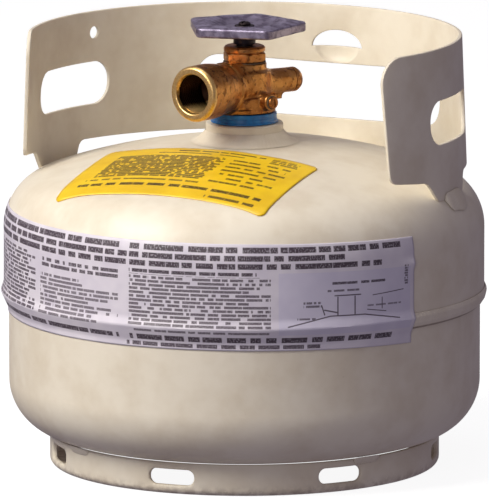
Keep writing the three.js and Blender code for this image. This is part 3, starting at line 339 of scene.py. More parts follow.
def flat_plate(outlines, across, upward, patch=(-np.inf, np.inf)):
    """Flat mesh inside the first outline and outside the others, cut into a grid by the given lines.

    The upward lines only cut what lies between the two sides of `patch`. A cut goes through a
    point that is nearer to it than `SNAP`. Then each inner edge that isn't along a line is
    dissolved, so that what is left is whole cells and the outlines' trimmed ones.
    """
    curve = bpy.data.curves.new("plate", "CURVE")
    curve.dimensions = "2D"
    curve.fill_mode = "BOTH"
    for outline in outlines:
        spline = curve.splines.new("POLY")
        spline.points.add(len(outline) - 1)
        spline.points.foreach_set("co", np.pad(outline, ((0, 0), (0, 2))).ravel())
        spline.use_cyclic_u = True
    holder = bpy.data.objects.new("plate", curve)
    mesh = bpy.data.meshes.new_from_object(holder)
    bpy.data.objects.remove(holder)
    bpy.data.curves.remove(curve)
    work = bmesh.new()
    work.from_mesh(mesh)
    bmesh.ops.remove_doubles(work, verts=work.verts, dist=1e-3)
    for normal, lines in (((1, 0, 0), across), ((0, 1, 0), upward)):
        left, right = patch if normal[1] else (-np.inf, np.inf)
        for line in lines:
            faces = [face for face in work.faces if left < face.calc_center_bounds().x < right]
            geometry = list({part for face in faces for part in (face, *face.edges, *face.verts)})
            bmesh.ops.bisect_plane(work, geom=geometry, dist=SNAP,
                                   plane_co=Vector(normal) * line, plane_no=normal)
    ends = np.array([[vertex.co[:2] for vertex in edge.verts] for edge in work.edges])
    kept = along_line(ends, across, 0) | along_line(ends, upward, 1)
    loose = [edge for edge, keep in zip(work.edges, kept) if not (keep or edge.is_boundary)]
    bmesh.ops.dissolve_edges(work, edges=loose, use_verts=False)
    idle = [vertex for vertex in work.verts if len(vertex.link_edges) == 2 and not vertex.is_boundary]
    bmesh.ops.dissolve_verts(work, verts=idle)
    work.to_mesh(mesh)
    work.free()
    return mesh


def along_line(ends, lines, axis):
    """Whether both ends of each flat edge are within the snap of the same cut line."""
    lines = np.sort(np.asarray(lines, float))
    places = ends[:, :, axis]
    after = np.clip(np.searchsorted(lines, places), 1, len(lines) - 1)
    nearest = np.where(places - lines[after - 1] < lines[after] - places, after - 1, after)
    close = np.abs(lines[nearest] - places) < SNAP + 1e-3
    return (nearest[:, 0] == nearest[:, 1]) & close.all(1)


def thick_sheet(name, mesh, wall, bend, seams=()):
    """Closed solid from a flat plate: two faces half a wall to each side, joined by a rounded rim.

    The rim is a row of quads round every free edge. It goes out by `RIM` along the edge's own
    outward direction, round a quarter circle, straight across and round another. `bend` takes
    (x, y, depth) and gives the points' places. The plate's sides at x = `seams` meet when bent.
    """
    flat = read_points(mesh)[:, :2]
    shapes = [list(face.vertices) for face in mesh.polygons]
    area = sum(face.normal.z * face.area for face in mesh.polygons)
    if area < 0:
        shapes = [shape[::-1] for shape in shapes]
    start = np.concatenate([np.array(shape) for shape in shapes])
    end = np.concatenate([np.roll(shape, -1) for shape in shapes])
    count = len(flat)
    free = ~np.isin(start * count + end, end * count + start)
    for seam in seams:
        free &= np.maximum(np.abs(flat[start, 0] - seam), np.abs(flat[end, 0] - seam)) > 0.01
    start, end = start[free], end[free]
    run = flat[end] - flat[start]
    out = np.stack([run[:, 1], -run[:, 0]], 1) / np.linalg.norm(run, axis=1, keepdims=True)
    lean = np.zeros_like(flat)
    np.add.at(lean, start, out)
    np.add.at(lean, end, out)
    rim = np.unique([start, end])
    lean = lean[rim] / np.linalg.norm(lean[rim], axis=1, keepdims=True)
    angle = np.radians([22.5, 45, 67.5, 90])
    steps = [(RIM * math.sin(a), 0.5 * wall - RIM * (1 - math.cos(a))) for a in angle]
    steps += [(reach, -depth) for reach, depth in reversed(steps)]
    rows = [np.column_stack([flat[rim] + reach * lean, np.full(len(rim), depth)]) for reach, depth in steps]
    faces = [np.column_stack([flat, np.full(count, depth)]) for depth in (0.5 * wall, -0.5 * wall)]
    points = np.concatenate(faces + rows)
    number = np.full(count, -1)
    number[rim] = np.arange(len(rim))
    levels = [start, *(2 * count + k * len(rim) + number[start] for k in range(len(steps))), count + start]
    others = [end, *(2 * count + k * len(rim) + number[end] for k in range(len(steps))), count + end]
    sides = [
        np.stack([levels[k], levels[k + 1], others[k + 1], others[k]], 1) for k in range(len(steps) + 1)
    ]
    back = [[count + corner for corner in reversed(shape)] for shape in shapes]
    solid = bpy.data.meshes.new(name)
    solid.from_pydata(bend(*points.T) * MM, [], shapes + back + np.concatenate(sides).tolist())
    bpy.data.meshes.remove(mesh)
    tidy_mesh(solid, 1e-5)
    return solid


def inset(outline, by):
    """An outline drawn in by a distance, each point along the mean of its two sides' directions."""
    run = np.roll(outline, -1, axis=0) - outline
    run = run / np.linalg.norm(run, axis=1, keepdims=True)
    out = np.stack([run[:, 1], -run[:, 0]], 1)
    both = out + np.roll(out, 1, axis=0)
    both = both / (1 + (out * np.roll(out, 1, axis=0)).sum(1, keepdims=True))
    x, y = outline.T
    ccw = np.sign((x * np.roll(y, -1) - y * np.roll(x, -1)).sum())
    return outline - by * ccw * both


def read_points(mesh):
    flat = np.empty(3 * len(mesh.vertices), np.float32)
    mesh.vertices.foreach_get("co", flat)
    return flat.reshape(-1, 3).astype(float)


def read_faces(mesh, what):
    """Each face's centre or normal, as rows."""
    flat = np.empty(3 * len(mesh.polygons), np.float32)
    mesh.polygons.foreach_get(what, flat)
    return flat.reshape(-1, 3)


def write_points(mesh, points):
    mesh.vertices.foreach_set("co", (points * MM).astype(np.float32).ravel())
    mesh.update()


def add_print_map(mesh, across, upward):
    """Stores each point's place on the label, in metres, as the mesh's UV map."""
    corners = np.empty(len(mesh.loops), np.int32)
    mesh.loops.foreach_get("vertex_index", corners)
    places = np.stack([across, upward], 1)[corners] * MM
    mesh.uv_layers.new(name="print").data.foreach_set("uv", places.astype(np.float32).ravel())


# ---- distance fields, for forged and milled pieces ----


def join(a, b, blend):
    """Both solids, their meeting edge filled by a smooth fillet."""
    reach = np.maximum(blend - np.abs(a - b), 0) / blend
    return np.minimum(a, b) - 0.25 * blend * reach * reach


def trim(a, b, blend=0.8):
    """What is inside both, its new edge slightly rounded."""
    return -join(-a, -b, blend)


def turned(along, across, stations, radii, edge=0.8):
    """Distance from a body of revolution whose radius changes between stations."""
    side = across - np.interp(along, stations, radii)
    steepest = np.max(np.abs(np.diff(radii) / np.maximum(np.diff(stations), 1e-6)))
    side = side / math.hypot(1, min(steepest, 1.0))
    middle = 0.5 * (stations[0] + stations[-1])
    half = 0.5 * (stations[-1] - stations[0])
    return trim(side, np.abs(along - middle) - half, edge)


def hexagonal(x, y, corner_r, turn):
    """Distance from six flats about the axis."""
    sides = [
        np.abs(x * math.cos(angle) + y * math.sin(angle))
        for angle in math.radians(turn) + np.pi / 6 + np.pi / 3 * np.arange(3)
    ]
    return np.maximum.reduce(sides) - corner_r * math.cos(math.pi / 6)


def on_bearing(x, y, z, bearing, height):
    """Distances along and away from a level line that leaves the axis on a bearing."""
    turn = math.radians(bearing)
    along = x * math.sin(turn) - y * math.cos(turn)
    side = x * math.cos(turn) + y * math.sin(turn)
    return along, np.hypot(side, z - height), side


def skin(field, low, high, step):
    """Points and quads of the surface where a field is nought.

    Every cell of the grid that the surface crosses gets one point, which is moved down the field's
    slope onto the surface. Every grid edge that it crosses gets the quad of the four cells round it.
    """
    axes = [np.arange(a, b + step, step) for a, b in zip(low, high)]
    grid = np.meshgrid(*axes, indexing="ij")
    inside = field(*grid) < 0
    wide, deep, tall = np.array(inside.shape) - 1
    count = sum(
        inside[i:wide + i, j:deep + j, k:tall + k].astype(np.int8)
        for i in (0, 1) for j in (0, 1) for k in (0, 1)
    )
    crossed = (count > 0) & (count < 8)
    number = np.full(crossed.shape, -1, np.int64)
    number[crossed] = np.arange(crossed.sum())
    cells = np.argwhere(crossed)
    points = np.array([a[0] for a in axes]) + (cells + 0.5) * step
    centre = points.copy()
    nudge = 0.05 * step
    for _ in range(4):
        value = field(*points.T)
        slope = np.stack([
            (field(*(points + nudge * axis).T) - field(*(points - nudge * axis).T)) / (2 * nudge)
            for axis in np.eye(3)
        ], 1)
        steep = np.maximum((slope**2).sum(1), 0.05)
        points = points - (value / steep)[:, None] * slope
        points = np.clip(points, centre - 0.75 * step, centre + 0.75 * step)
    faces = []
    for axis in range(3):
        first = np.moveaxis(inside, axis, 0)
        cell = np.moveaxis(number, axis, 0)
        change = first[:-1, 1:-1, 1:-1] != first[1:, 1:-1, 1:-1]
        i, j, k = np.nonzero(change)
        around = [cell[i, j, k], cell[i, j + 1, k], cell[i, j + 1, k + 1], cell[i, j, k + 1]]
        faces.append(np.stack(around, 1))
    return points, np.concatenate(faces)


# ==== finishes ====


class Wire:
    """A shader socket that sums can be written with."""

    def __init__(self, finish, socket):
        self.finish = finish
        self.socket = socket

    def sum(self, operation, first, second=None):
        inputs = {0: first} if second is None else {0: first, 1: second}
        return self.finish.node("ShaderNodeMath", {"operation": operation}, inputs)

    def __add__(self, other):
        return self.sum("ADD", self, other)

    def __sub__(self, other):
        return self.sum("SUBTRACT", self, other)

    def __rsub__(self, other):
        return self.sum("SUBTRACT", other, self)

    def __mul__(self, other):
        return self.sum("MULTIPLY", self, other)

    def __truediv__(self, other):
        return self.sum("DIVIDE", self, other)

    def __gt__(self, other):
        return self.sum("GREATER_THAN", self, other)

    def __lt__(self, other):
        return self.sum("LESS_THAN", self, other)

    def __abs__(self):
        return self.sum("ABSOLUTE", self)

    def fraction(self):
        return self.sum("FRACT", self)

    def floor(self):
        return self.sum("FLOOR", self)

    def sine(self):
        return self.sum("SINE", self)

    def root(self):
        return self.sum("SQRT", self)

    def least(self, other):
        return self.sum("MINIMUM", self, other)

    def most(self, other):
        return self.sum("MAXIMUM", self, other)

    def between(self, low, high):
        """1 between two values, 0 outside them."""
        return (self > low) * (self < high)

    def ease(self, low, high):
        """Rises smoothly from 0 at `low` to 1 at `high`."""
        return self.finish.node("ShaderNodeMapRange", {"interpolation_type": "SMOOTHSTEP"},
                                {0: self, 1: low, 2: high, 3: 0.0, 4: 1.0})


class Finish:
    """A material that is built node by node, in millimetres of the cylinder's own frame."""

    def __init__(self, name, **shader):
        self.material = bpy.data.materials.new(name)
        self.material.use_nodes = True
        self.tree = self.material.node_tree
        self.tree.nodes.clear()
        self.shader = self.tree.nodes.new("ShaderNodeBsdfPrincipled")
        output = self.tree.nodes.new("ShaderNodeOutputMaterial")
        self.tree.links.new(self.shader.outputs[0], output.inputs[0])
        for socket, value in shader.items():
            self.shader.inputs[socket.replace("_", " ").title().replace("Ior", "IOR")].default_value = value

    def node(self, kind, settings=None, inputs=None, out=0):
        """Adds one node, with its settings first and then its sockets' values or wires."""
        node = self.tree.nodes.new(kind)
        for key, value in (settings or {}).items():
            setattr(node, key, value)
        for socket, value in (inputs or {}).items():
            if isinstance(value, Wire):
                self.tree.links.new(value.socket, node.inputs[socket])
            else:
                node.inputs[socket].default_value = value
        return Wire(self, node.outputs[out])

    def place(self):
        """The point's own place in the frame, in millimetres, as a vector and as its three parts."""
        metres = self.node("ShaderNodeTexCoord", out=3)
        vector = self.node("ShaderNodeVectorMath", {"operation": "SCALE"}, {0: metres, 3: 1 / MM})
        return vector, [self.node("ShaderNodeSeparateXYZ", inputs={0: vector}, out=k) for k in range(3)]

    def noise(self, vector, size, detail, rough):
        """Cloudy noise from 0 to 1 whose blobs are about `size` millimetres across."""
        return self.node("ShaderNodeTexNoise", None,
                         {"Vector": vector, "Scale": 1 / size, "Detail": detail, "Roughness": rough})

    def blend(self, factor, first, second):
        """Colour that goes from one to another with a factor."""
        first = (*first, 1.0) if isinstance(first, tuple) else first
        second = (*second, 1.0) if isinstance(second, tuple) else second
        return self.node("ShaderNodeMix", {"data_type": "RGBA"}, {0: factor, 6: first, 7: second}, 2)

    def give(self, **wires):
        """Links wires to the shader's sockets that vary over the surface."""
        for socket, wire in wires.items():
            self.tree.links.new(wire.socket, self.shader.inputs[socket.replace("_", " ").title()])

    def relief(self, *layers):
        """Bumps laid on each other, each a height from 0 to 1 and its depth in millimetres."""
        normal = None
        for height, depth in layers:
            inputs = {"Strength": 1.0, "Distance": depth * MM, "Height": height}
            if normal:
                inputs["Normal"] = normal
            normal = self.node("ShaderNodeBump", None, inputs)
        self.give(normal=normal)


IVORY = (0.80, 0.735, 0.60)
IVORY_DEEP = (0.70, 0.62, 0.48)
# colour of the scuffs, of the darkening towards the floor and of the painted shade under the girth weld's toe
SCUFF_AND_SHADE = (0.20, 0.135, 0.09)


def ivory_paint():
    """Baked enamel: orange peel, faint clouds, scuffs, darker towards the floor, and painted shade along the
    girth weld's lower toe.
    """
    paint = Finish("ivory_enamel", coat_roughness=0.25, ior=1.5, specular_ior_level=0.45)
    vector, (_, _, z) = paint.place()
    cloud = paint.noise(vector, 38.0, 3.0, 0.6)
    fine = paint.noise(vector, 5.5, 3.0, 0.6)
    specks = paint.noise(vector, 1.6, 2.0, 0.7)
    colour = paint.blend(cloud.ease(0.35, 0.7), IVORY, IVORY_DEEP)
    colour = paint.blend((fine - 0.5) * 0.35 + 0.12, colour, (0.88, 0.83, 0.72))
    # darker over the lowest 9 mm, towards the floor
    low = (1 - z.ease(0.0, 9.0)) * fine.ease(0.35, 0.65) * 0.5
    scuff = specks.ease(0.70, 0.78) * cloud.ease(0.48, 0.62) * 0.30
    scuffs_and_shade = low.most(scuff)
    # painted shade: a dark line along the girth weld's lower toe, where its undercut is shaded
    line = 1 - abs(z - (BEAD_LOW_Z + 0.2)).ease(0.25, 1.3)
    scuffs_and_shade = scuffs_and_shade.most(line * (fine * 0.5 + 0.45))
    colour = paint.blend(scuffs_and_shade, colour, SCUFF_AND_SHADE)
    paint.give(base_color=colour, roughness=fine * 0.14 + cloud * 0.12 + 0.30)
    peel = paint.noise(vector, 1.9, 1.0, 0.4)
    paint.relief((cloud, 0.5), (peel, 0.035), (specks, 0.012))
    return paint.material


def brass(name, dark=0.0, lathe=False):
    """Brass: forged skin with a fine pitted grain, or bright turned rings, under a thin patina."""
    metal = Finish(name, metallic=1.0, specular_ior_level=0.5)
    vector, (x, y, z) = metal.place()
    cloud = metal.noise(vector, 7.0, 3.0, 0.6)
    grain = metal.noise(vector, 0.9, 3.0, 0.65)
    bright = (0.60, 0.29, 0.10) if lathe else (0.72, 0.36, 0.11)
    colour = metal.blend(cloud.ease(0.35, 0.75), bright, (0.50, 0.20, 0.05))
    crease = metal.noise(vector, 3.2, 2.0, 0.6)
    colour = metal.blend(crease.ease(0.52, 0.68) * 0.75, colour, (0.13, 0.035, 0.012))
    # darker towards the foot of the valve, and a little darker all over by `dark`
    low = (1 - z.ease(BOSS_TOP_Z + 6, BOSS_TOP_Z + 30)) * 0.75 + dark
    colour = metal.blend(low * (grain * 0.6 + 0.4), colour, (0.26, 0.075, 0.022))
    metal.give(base_color=colour, roughness=grain * 0.16 + cloud * 0.14 + 0.2)
    if lathe:
        rings = ((x * x + y * y).root() * 9.0).sine() * 0.5 + 0.5
        metal.relief((rings, 0.012), (grain, 0.02))
    else:
        metal.relief((cloud, 0.9), (crease, 0.35), (grain, 0.10))
    return metal.material


def bright_outlet():
    """The outlet's machined mouth: clean yellow brass with rings about its own axis."""
    metal = Finish("machined_brass", metallic=1.0)
    vector, (x, y, z) = metal.place()
    turn = math.radians(OUTLET_AT)
    side = x * math.cos(turn) + y * math.sin(turn)
    away = (side * side + (z - OUTLET_Z) * (z - OUTLET_Z)).root()
    along = x * math.sin(turn) - y * math.cos(turn)
    grain = metal.noise(vector, 1.2, 3.0, 0.6)
    rings = ((away * 7.0).sine() + (along * 8.0).sine()) * 0.25 + 0.5
    colour = metal.blend(grain.ease(0.3, 0.8), (0.96, 0.68, 0.28), (0.74, 0.42, 0.14))
    metal.give(base_color=colour, roughness=grain * 0.15 + 0.30)
    metal.relief((rings, 0.012), (grain, 0.015))
    return metal.material


def shaded_bore():
    """Inside the outlet: brass painted near-black as shade, with a painted highlight of bright brass along its
    lowest side.
    """
    metal = Finish("shaded_brass", metallic=1.0)
    vector, (_, _, z) = metal.place()
    grain = metal.noise(vector, 1.2, 3.0, 0.6)
    # painted shade and painted highlight: near-black brass above, bright brass along the lowest side
    dark = (z + grain * 2.0).ease(OUTLET_Z - 10.5, OUTLET_Z - 6.5)
    colour = metal.blend(dark, (0.95, 0.66, 0.28), (0.022, 0.010, 0.006))
    metal.give(base_color=colour, roughness=grain * 0.2 + 0.3)
    metal.relief((grain, 0.03))
    return metal.material


def cast_wheel():
    """Satin die-cast alloy with a cool violet cast and pits; the rim's sides are darkened as painted shade, and
    the hub under the wheel is painted near-black as shade.
    """
    metal = Finish("die_cast_alloy", metallic=0.85, specular_ior_level=0.5)
    vector, (_, _, z) = metal.place()
    cloud = metal.noise(vector, 7.0, 3.0, 0.6)
    grain = metal.noise(vector, 1.1, 3.0, 0.7)
    colour = metal.blend(cloud.ease(0.38, 0.66), (0.52, 0.47, 0.62), (0.20, 0.165, 0.245))
    colour = metal.blend(grain.ease(0.62, 0.8) * 0.5, colour, (0.12, 0.10, 0.14))
    # painted shade: the rim's sides, below its top edge, are darkened
    rim = WHEEL_TOP_Z - WHEEL_CROWN
    colour = metal.blend((1 - z.ease(rim - 0.9, rim + 0.5)) * 0.35, colour, (0.13, 0.105, 0.15))
    # painted shade: the hub under the wheel is near-black
    colour = metal.blend(z.ease(WHEEL_LOW_Z - 0.6, WHEEL_LOW_Z + 0.2), (0.035, 0.028, 0.032), colour)
    metal.give(base_color=colour, roughness=cloud * 0.18 + grain * 0.16 + 0.24)
    metal.relief((cloud, 0.25), (grain, 0.07))
    return metal.material


def plain_metal(name, colour, dark, rough, metallic=1.0):
    """Plated or darkened steel, with a fine drawn grain and faint stains."""
    metal = Finish(name, metallic=metallic)
    vector, _ = metal.place()
    grain = metal.noise(vector, 0.7, 3.0, 0.6)
    stain = metal.noise(vector, 4.0, 2.0, 0.5)
    metal.give(base_color=metal.blend(stain.ease(0.35, 0.75), colour, dark), roughness=grain * 0.2 + rough)
    metal.relief((grain, 0.03))
    return metal.material


def blue_seal():
    """Glossy blue plastic sleeve, faintly streaked up and down where it was drawn on."""
    plastic = Finish("blue_plastic", coat_weight=0.3, coat_roughness=0.1)
    vector, _ = plastic.place()
    cloud = plastic.noise(vector, 5.0, 2.0, 0.5)
    fine = plastic.noise(vector, 0.8, 2.0, 0.6)
    colour = plastic.blend(cloud.ease(0.3, 0.7), (0.006, 0.19, 0.50), (0.004, 0.11, 0.34))
    plastic.give(base_color=colour, roughness=fine * 0.15 + 0.25)
    plastic.relief((cloud, 0.15), (fine, 0.03))
    return plastic.material


def soft_part(name, colour, dark, rough):
    """Rubber or pressed fibre with a felted grain."""
    stuff = Finish(name)
    vector, _ = stuff.place()
    grain = stuff.noise(vector, 0.6, 3.0, 0.7)
    stuff.give(base_color=stuff.blend(grain, colour, dark), roughness=grain * 0.1 + rough)
    stuff.relief((grain, 0.04))
    return stuff.material


class Print:
    """Ink on a label: bars and hairlines in place of words, from the label's own map."""

    def __init__(self, finish):
        self.finish = finish
        map_ = finish.node("ShaderNodeUVMap", {"uv_map": "print"})
        scaled = finish.node("ShaderNodeVectorMath", {"operation": "SCALE"}, {0: map_, 3: 1 / MM})
        parts = [finish.node("ShaderNodeSeparateXYZ", inputs={0: scaled}, out=k) for k in (0, 1)]
        self.across, self.up = parts
        self.ink = None

    def add(self, mask):
        self.ink = mask if self.ink is None else self.ink.most(mask)

    def inside(self, left, right, bottom, top):
        return self.across.between(left, right) * self.up.between(bottom, top)

    def flat_noise(self, x, y, detail):
        """Noise over two values, with blobs about one unit across."""
        spot = self.finish.node("ShaderNodeCombineXYZ", inputs={0: x, 1: y})
        return self.finish.node("ShaderNodeTexNoise", {"noise_dimensions": "2D"},
                                {"Vector": spot, "Scale": 1.0, "Detail": detail})

    def lines(self, left, right, bottom, top, pitch, duty, word, weight=1.0, ragged=0.0, seed=0.0):
        """Rows of word-long bars: each row's gaps and its ragged end come from noise."""
        row = (self.up - bottom) / pitch
        number = row.floor() * 7.31 + seed
        words = self.flat_noise(self.across / word, number, 0.0)
        marks = self.flat_noise(self.across / (0.16 * word), self.up / (0.3 * pitch), 1.0)
        end = right
        if ragged:
            end = right - self.flat_noise(seed + 3.7, number, 0.0).ease(0.45, 0.75) * ragged
        rows = abs(row.fraction() - 0.5) < 0.56 * duty
        bars = rows * words.ease(0.34, 0.40) * (marks.ease(0.32, 0.46) * 0.4 + 0.6) * weight
        self.add(bars * self.inside(left, end, bottom, top))

    def stroke(self, start, end, width, weight=0.85):
        """A straight drawn line: ink where the distance to the segment is under half its width."""
        (x0, y0), (x1, y1) = start, end
        dx, dy = x1 - x0, y1 - y0
        length = dx * dx + dy * dy
        px, py = self.across - x0, self.up - y0
        along = ((px * dx + py * dy) / length).most(0.0).least(1.0)
        away_x, away_y = px - along * dx, py - along * dy
        away = (away_x * away_x + away_y * away_y).root()
        self.add((away < 0.5 * width) * weight)


def white_label():
    """White film with a violet tinge, printed with generic bars, blocks and a line drawing."""
    film = Finish("white_printed_film", coat_weight=0.15, coat_roughness=0.3)
    vector, _ = film.place()
    fine = film.noise(vector, 1.0, 2.0, 0.6)
    cloud = film.noise(vector, 22.0, 2.0, 0.6)
    ink = Print(film)
    high = WRAP_HIGH - WRAP_LOW
    # bold rows along the top
    ink.lines(-185, -13, high - 6.4, high - 1.2, 5.2, 0.62, 5.0, 0.95, 0.0, 1.0)
    ink.lines(-6, 178, high - 6.4, high - 1.2, 5.2, 0.62, 5.0, 0.95, 0.0, 2.0)
    ink.lines(-185, 138, high - 11.6, high - 6.4, 5.2, 0.6, 4.5, 0.95, 0.0, 3.0)
    ink.lines(-185, 163, high - 16.8, high - 11.6, 5.2, 0.6, 4.5, 0.95, 0.0, 4.0)
    # left and middle blocks of small print
    ink.lines(-185, -90, 13.0, high - 18.5, 2.5, 0.6, 2.6, 0.9, 12.0, 5.0)
    ink.lines(-84, -14, high - 26.0, high - 19.0, 3.4, 0.6, 3.4, 0.9, 8.0, 6.0)
    ink.lines(-84, -14, 12.5, high - 29.0, 2.7, 0.58, 3.0, 0.78, 34.0, 7.0)
    ink.lines(-6, 78, high - 21.0, high - 17.4, 3.6, 0.55, 3.0, 0.95, 0.0, 8.0)
    ink.lines(-6, 87, 14.5, high - 21.2, 2.5, 0.6, 2.8, 0.85, 14.0, 9.0)
    ink.lines(-2, 86, 10.2, 13.2, 3.0, 0.45, 3.2, 0.8, 0.0, 10.0)
    # bold rows along the bottom
    ink.lines(-185, -14, 4.6, 9.2, 4.6, 0.6, 5.0, 0.95, 0.0, 11.0)
    ink.lines(-6, 172, 4.6, 9.4, 4.8, 0.66, 5.0, 0.95, 0.0, 12.0)
    ink.lines(-9, 120, 0.6, 4.4, 3.8, 0.6, 4.0, 0.9, 0.0, 13.0)
    # a line drawing at the right: a plain bench, two posts and their leaders
    base = 17.0
    for x0, y0, x1, y1, width in (
        (98, -1, 126, 5, 0.8), (126, 5, 150, 5, 0.8), (150, 5, 176, 1, 0.8), (131, 5, 131, 17, 0.9),
        (143, 5, 143, 17, 0.9), (129, 18, 147, 18, 0.8), (122, 9, 131, 7, 0.9), (120, 12, 122, 6, 0.8),
        (152, 8, 166, 6, 0.6), (163, 8, 163, 15, 0.7), (156, 17, 180, 19, 0.6),
    ):
        ink.stroke((x0, base + y0), (x1, base + y1), width)
    ink.lines(108, 120, base + 10.5, base + 15.0, 2.2, 0.6, 2.0, 0.8, 0.0, 14.0)
    ink.lines(104, 116, base + 2.5, base + 5.0, 2.2, 0.5, 2.0, 0.8, 0.0, 15.0)
    ink.lines(124, 146, base + 20.0, base + 22.4, 2.4, 0.5, 3.0, 0.8, 0.0, 16.0)
    ink.lines(126, 166, base + 24.5, base + 27.5, 3.0, 0.5, 4.0, 0.9, 0.0, 17.0)
    ink.lines(152, 178, base + 9.5, base + 11.5, 2.0, 0.5, 3.0, 0.7, 0.0, 18.0)
    ink.lines(181, 184, high - 30.0, high - 17.0, 1.6, 0.7, 2.0, 0.8, 0.0, 19.0)
    paper = film.blend(cloud.ease(0.3, 0.7), (0.74, 0.70, 0.76), (0.64, 0.60, 0.68))
    drawing = ink.inside(92, 186, 10.5, high - 18.5) * 0.45
    paper = film.blend(drawing, paper, (0.56, 0.54, 0.72))
    colour = film.blend(ink.ink, paper, (0.035, 0.018, 0.03))
    return film_look(film, colour, fine, cloud)


def film_look(film, colour, fine, cloud):
    """Satin plastic film that waves very slightly."""
    film.give(base_color=colour, roughness=fine * 0.12 + 0.34)
    film.relief((cloud, 0.25), (fine, 0.01))
    return film.material


def yellow_label():
    """Golden-yellow film, printed with generic bars and a dense block."""
    film = Finish("yellow_printed_film", coat_weight=0.15, coat_roughness=0.3)
    vector, _ = film.place()
    fine = film.noise(vector, 1.0, 2.0, 0.6)
    cloud = film.noise(vector, 20.0, 2.0, 0.6)
    ink = Print(film)
    left, right = DOME_LABEL_X
    near, far = DOME_LABEL_Y
    ink.lines(left + 52, right - 34, far - 7.5, far - 4.5, 3.0, 0.6, 3.4, 0.95, 0.0, 1.0)
    ink.lines(left + 40, right - 48, far - 13.0, far - 9.0, 4.0, 0.34, 9.0, 0.9, 0.0, 2.0)
    ink.lines(left + 15, left + 92, near + 27, far - 16, 2.6, 0.7, 2.6, 0.95, 4.0, 3.0)
    ink.lines(left + 97, right - 10, near + 24, far - 16, 6.2, 0.36, 6.5, 0.85, 10.0, 4.0)
    ink.lines(right - 30, right - 10, far - 14, far - 4, 3.0, 0.7, 2.6, 0.75, 4.0, 5.0)
    ink.lines(left + 12, left + 92, near + 20.5, near + 24.5, 4.0, 0.5, 4.0, 0.8, 0.0, 6.0)
    ink.lines(left + 10, right - 9, near + 12, near + 17.5, 5.5, 0.6, 5.0, 0.95, 0.0, 7.0)
    ink.lines(left + 104, right - 10, near + 4, near + 8.5, 4.5, 0.6, 4.0, 0.9, 0.0, 8.0)
    base = film.blend(cloud.ease(0.3, 0.7), (0.90, 0.60, 0.010), (0.80, 0.50, 0.008))
    return film_look(film, film.blend(ink.ink, base, (0.045, 0.028, 0.008)), fine, cloud)


# ==== the camera, the lights and the floor ====

VIEW_BEARING = 26.0
VIEW_REACH = 8.0
VIEW_HEIGHT = 1.506
VIEW_AIM_Z = 0.1385
VIEW_LENS = 904.2
VIEW_SENSOR = 36.0


def aim(thing, place, target):
    thing.location = place
    thing.rotation_euler = (Vector(target) - Vector(place)).to_track_quat("-Z", "Y").to_euler()


def add_camera():
    turn = math.radians(VIEW_BEARING)
    lens = bpy.data.cameras.new("camera")
    lens.sensor_fit = "VERTICAL"
    lens.sensor_height = VIEW_SENSOR
    lens.lens = VIEW_LENS
    camera = in_scene("camera", lens)
    stand = (VIEW_REACH * math.sin(turn), -VIEW_REACH * math.cos(turn), VIEW_HEIGHT)
    aim(camera, stand, (0, 0, VIEW_AIM_Z))
    bpy.context.scene.camera = camera


def add_light(name, bearing, rise, reach, size, power, colour):
    """A square soft light on a bearing, aimed at the middle of the cylinder."""
    turn, lift = math.radians(bearing), math.radians(rise)
    data = bpy.data.lights.new(name, "AREA")
    data.shape = "RECTANGLE"
    data.size, data.size_y = size
    data.energy = power
    data.color = colour
    level = reach * math.cos(lift)
    stand = (level * math.sin(turn), -level * math.cos(turn), 0.14 + reach * math.sin(lift))
    aim(in_scene(name, data), stand, (0, 0, 0.15))


def add_stage():
    """Pale floor that sweeps up into a wall all round: flat, then a quarter circle, then upright."""
    flat, bend, tall = 13000.0, 3000.0, 14000.0
    angle = np.linspace(0, np.pi / 2, 17)
    sweep = np.stack([flat + bend * np.sin(angle), bend - bend * np.cos(angle)], 1)
    section = np.concatenate([[[0.0, 0.0], [2000.0, 0.0]], sweep, [[flat + bend, tall]]])
    points, faces = spun(section, 96)
    mesh = mesh_of("studio_floor", points, faces)
    mesh.shade_smooth()
    floor = in_scene("studio_floor", mesh)
    pale = Finish("pale_floor", base_color=(0.25, 0.25, 0.25, 1), roughness=0.9, specular_ior_level=0.0,
                  emission_color=(1, 1, 1, 1), emission_strength=0.9)
    mesh.materials.append(pale.material)
    floor.visible_diffuse = False
    floor.visible_glossy = False
    floor.visible_shadow = False


def add_world():
    world = bpy.data.worlds.new("studio")
    bpy.context.scene.world = world
    world.use_nodes = True
    background = world.node_tree.nodes["Background"]
    background.inputs[0].default_value = (0.78, 0.69, 0.86, 1.0)
    background.inputs[1].default_value = 0.24


add_camera()
add_world()
add_stage()
add_light("key", VIEW_BEARING - 58, 40, 2.4, (1.2, 1.2), 61, (1.0, 0.965, 0.90))
add_light("front", VIEW_BEARING - 14, 18, 3.0, (0.8, 1.4), 9, (1.0, 0.97, 0.93))
add_light("top", VIEW_BEARING - 90, 82, 2.2, (1.2, 1.2), 7, (1.0, 0.98, 0.95))
bpy.context.scene.view_settings.view_transform = "Standard"

# ==== finishes, by the record's slots ====

PAINT = ivory_paint()
FORGED = brass("forged_brass")
TURNED = brass("turned_brass", 0.1, True)
OUTLET = bright_outlet()
BORE = shaded_bore()
WHEEL = cast_wheel()
DARK = plain_metal("darkened_steel", (0.055, 0.042, 0.042), (0.025, 0.018, 0.018), 0.32, 0.9)
STEEL = plain_metal("zinc_plated_steel", (0.52, 0.50, 0.50), (0.34, 0.32, 0.31), 0.2)
RUBBER = soft_part("black_rubber", (0.03, 0.03, 0.03), (0.015, 0.015, 0.015), 0.6)
SEAL = blue_seal()
FIBRE = soft_part("pressed_fibre", (0.20, 0.14, 0.08), (0.10, 0.07, 0.04), 0.8)
WHITE = white_label()
YELLOW = yellow_label()


# ==== shell, boss, welds ====


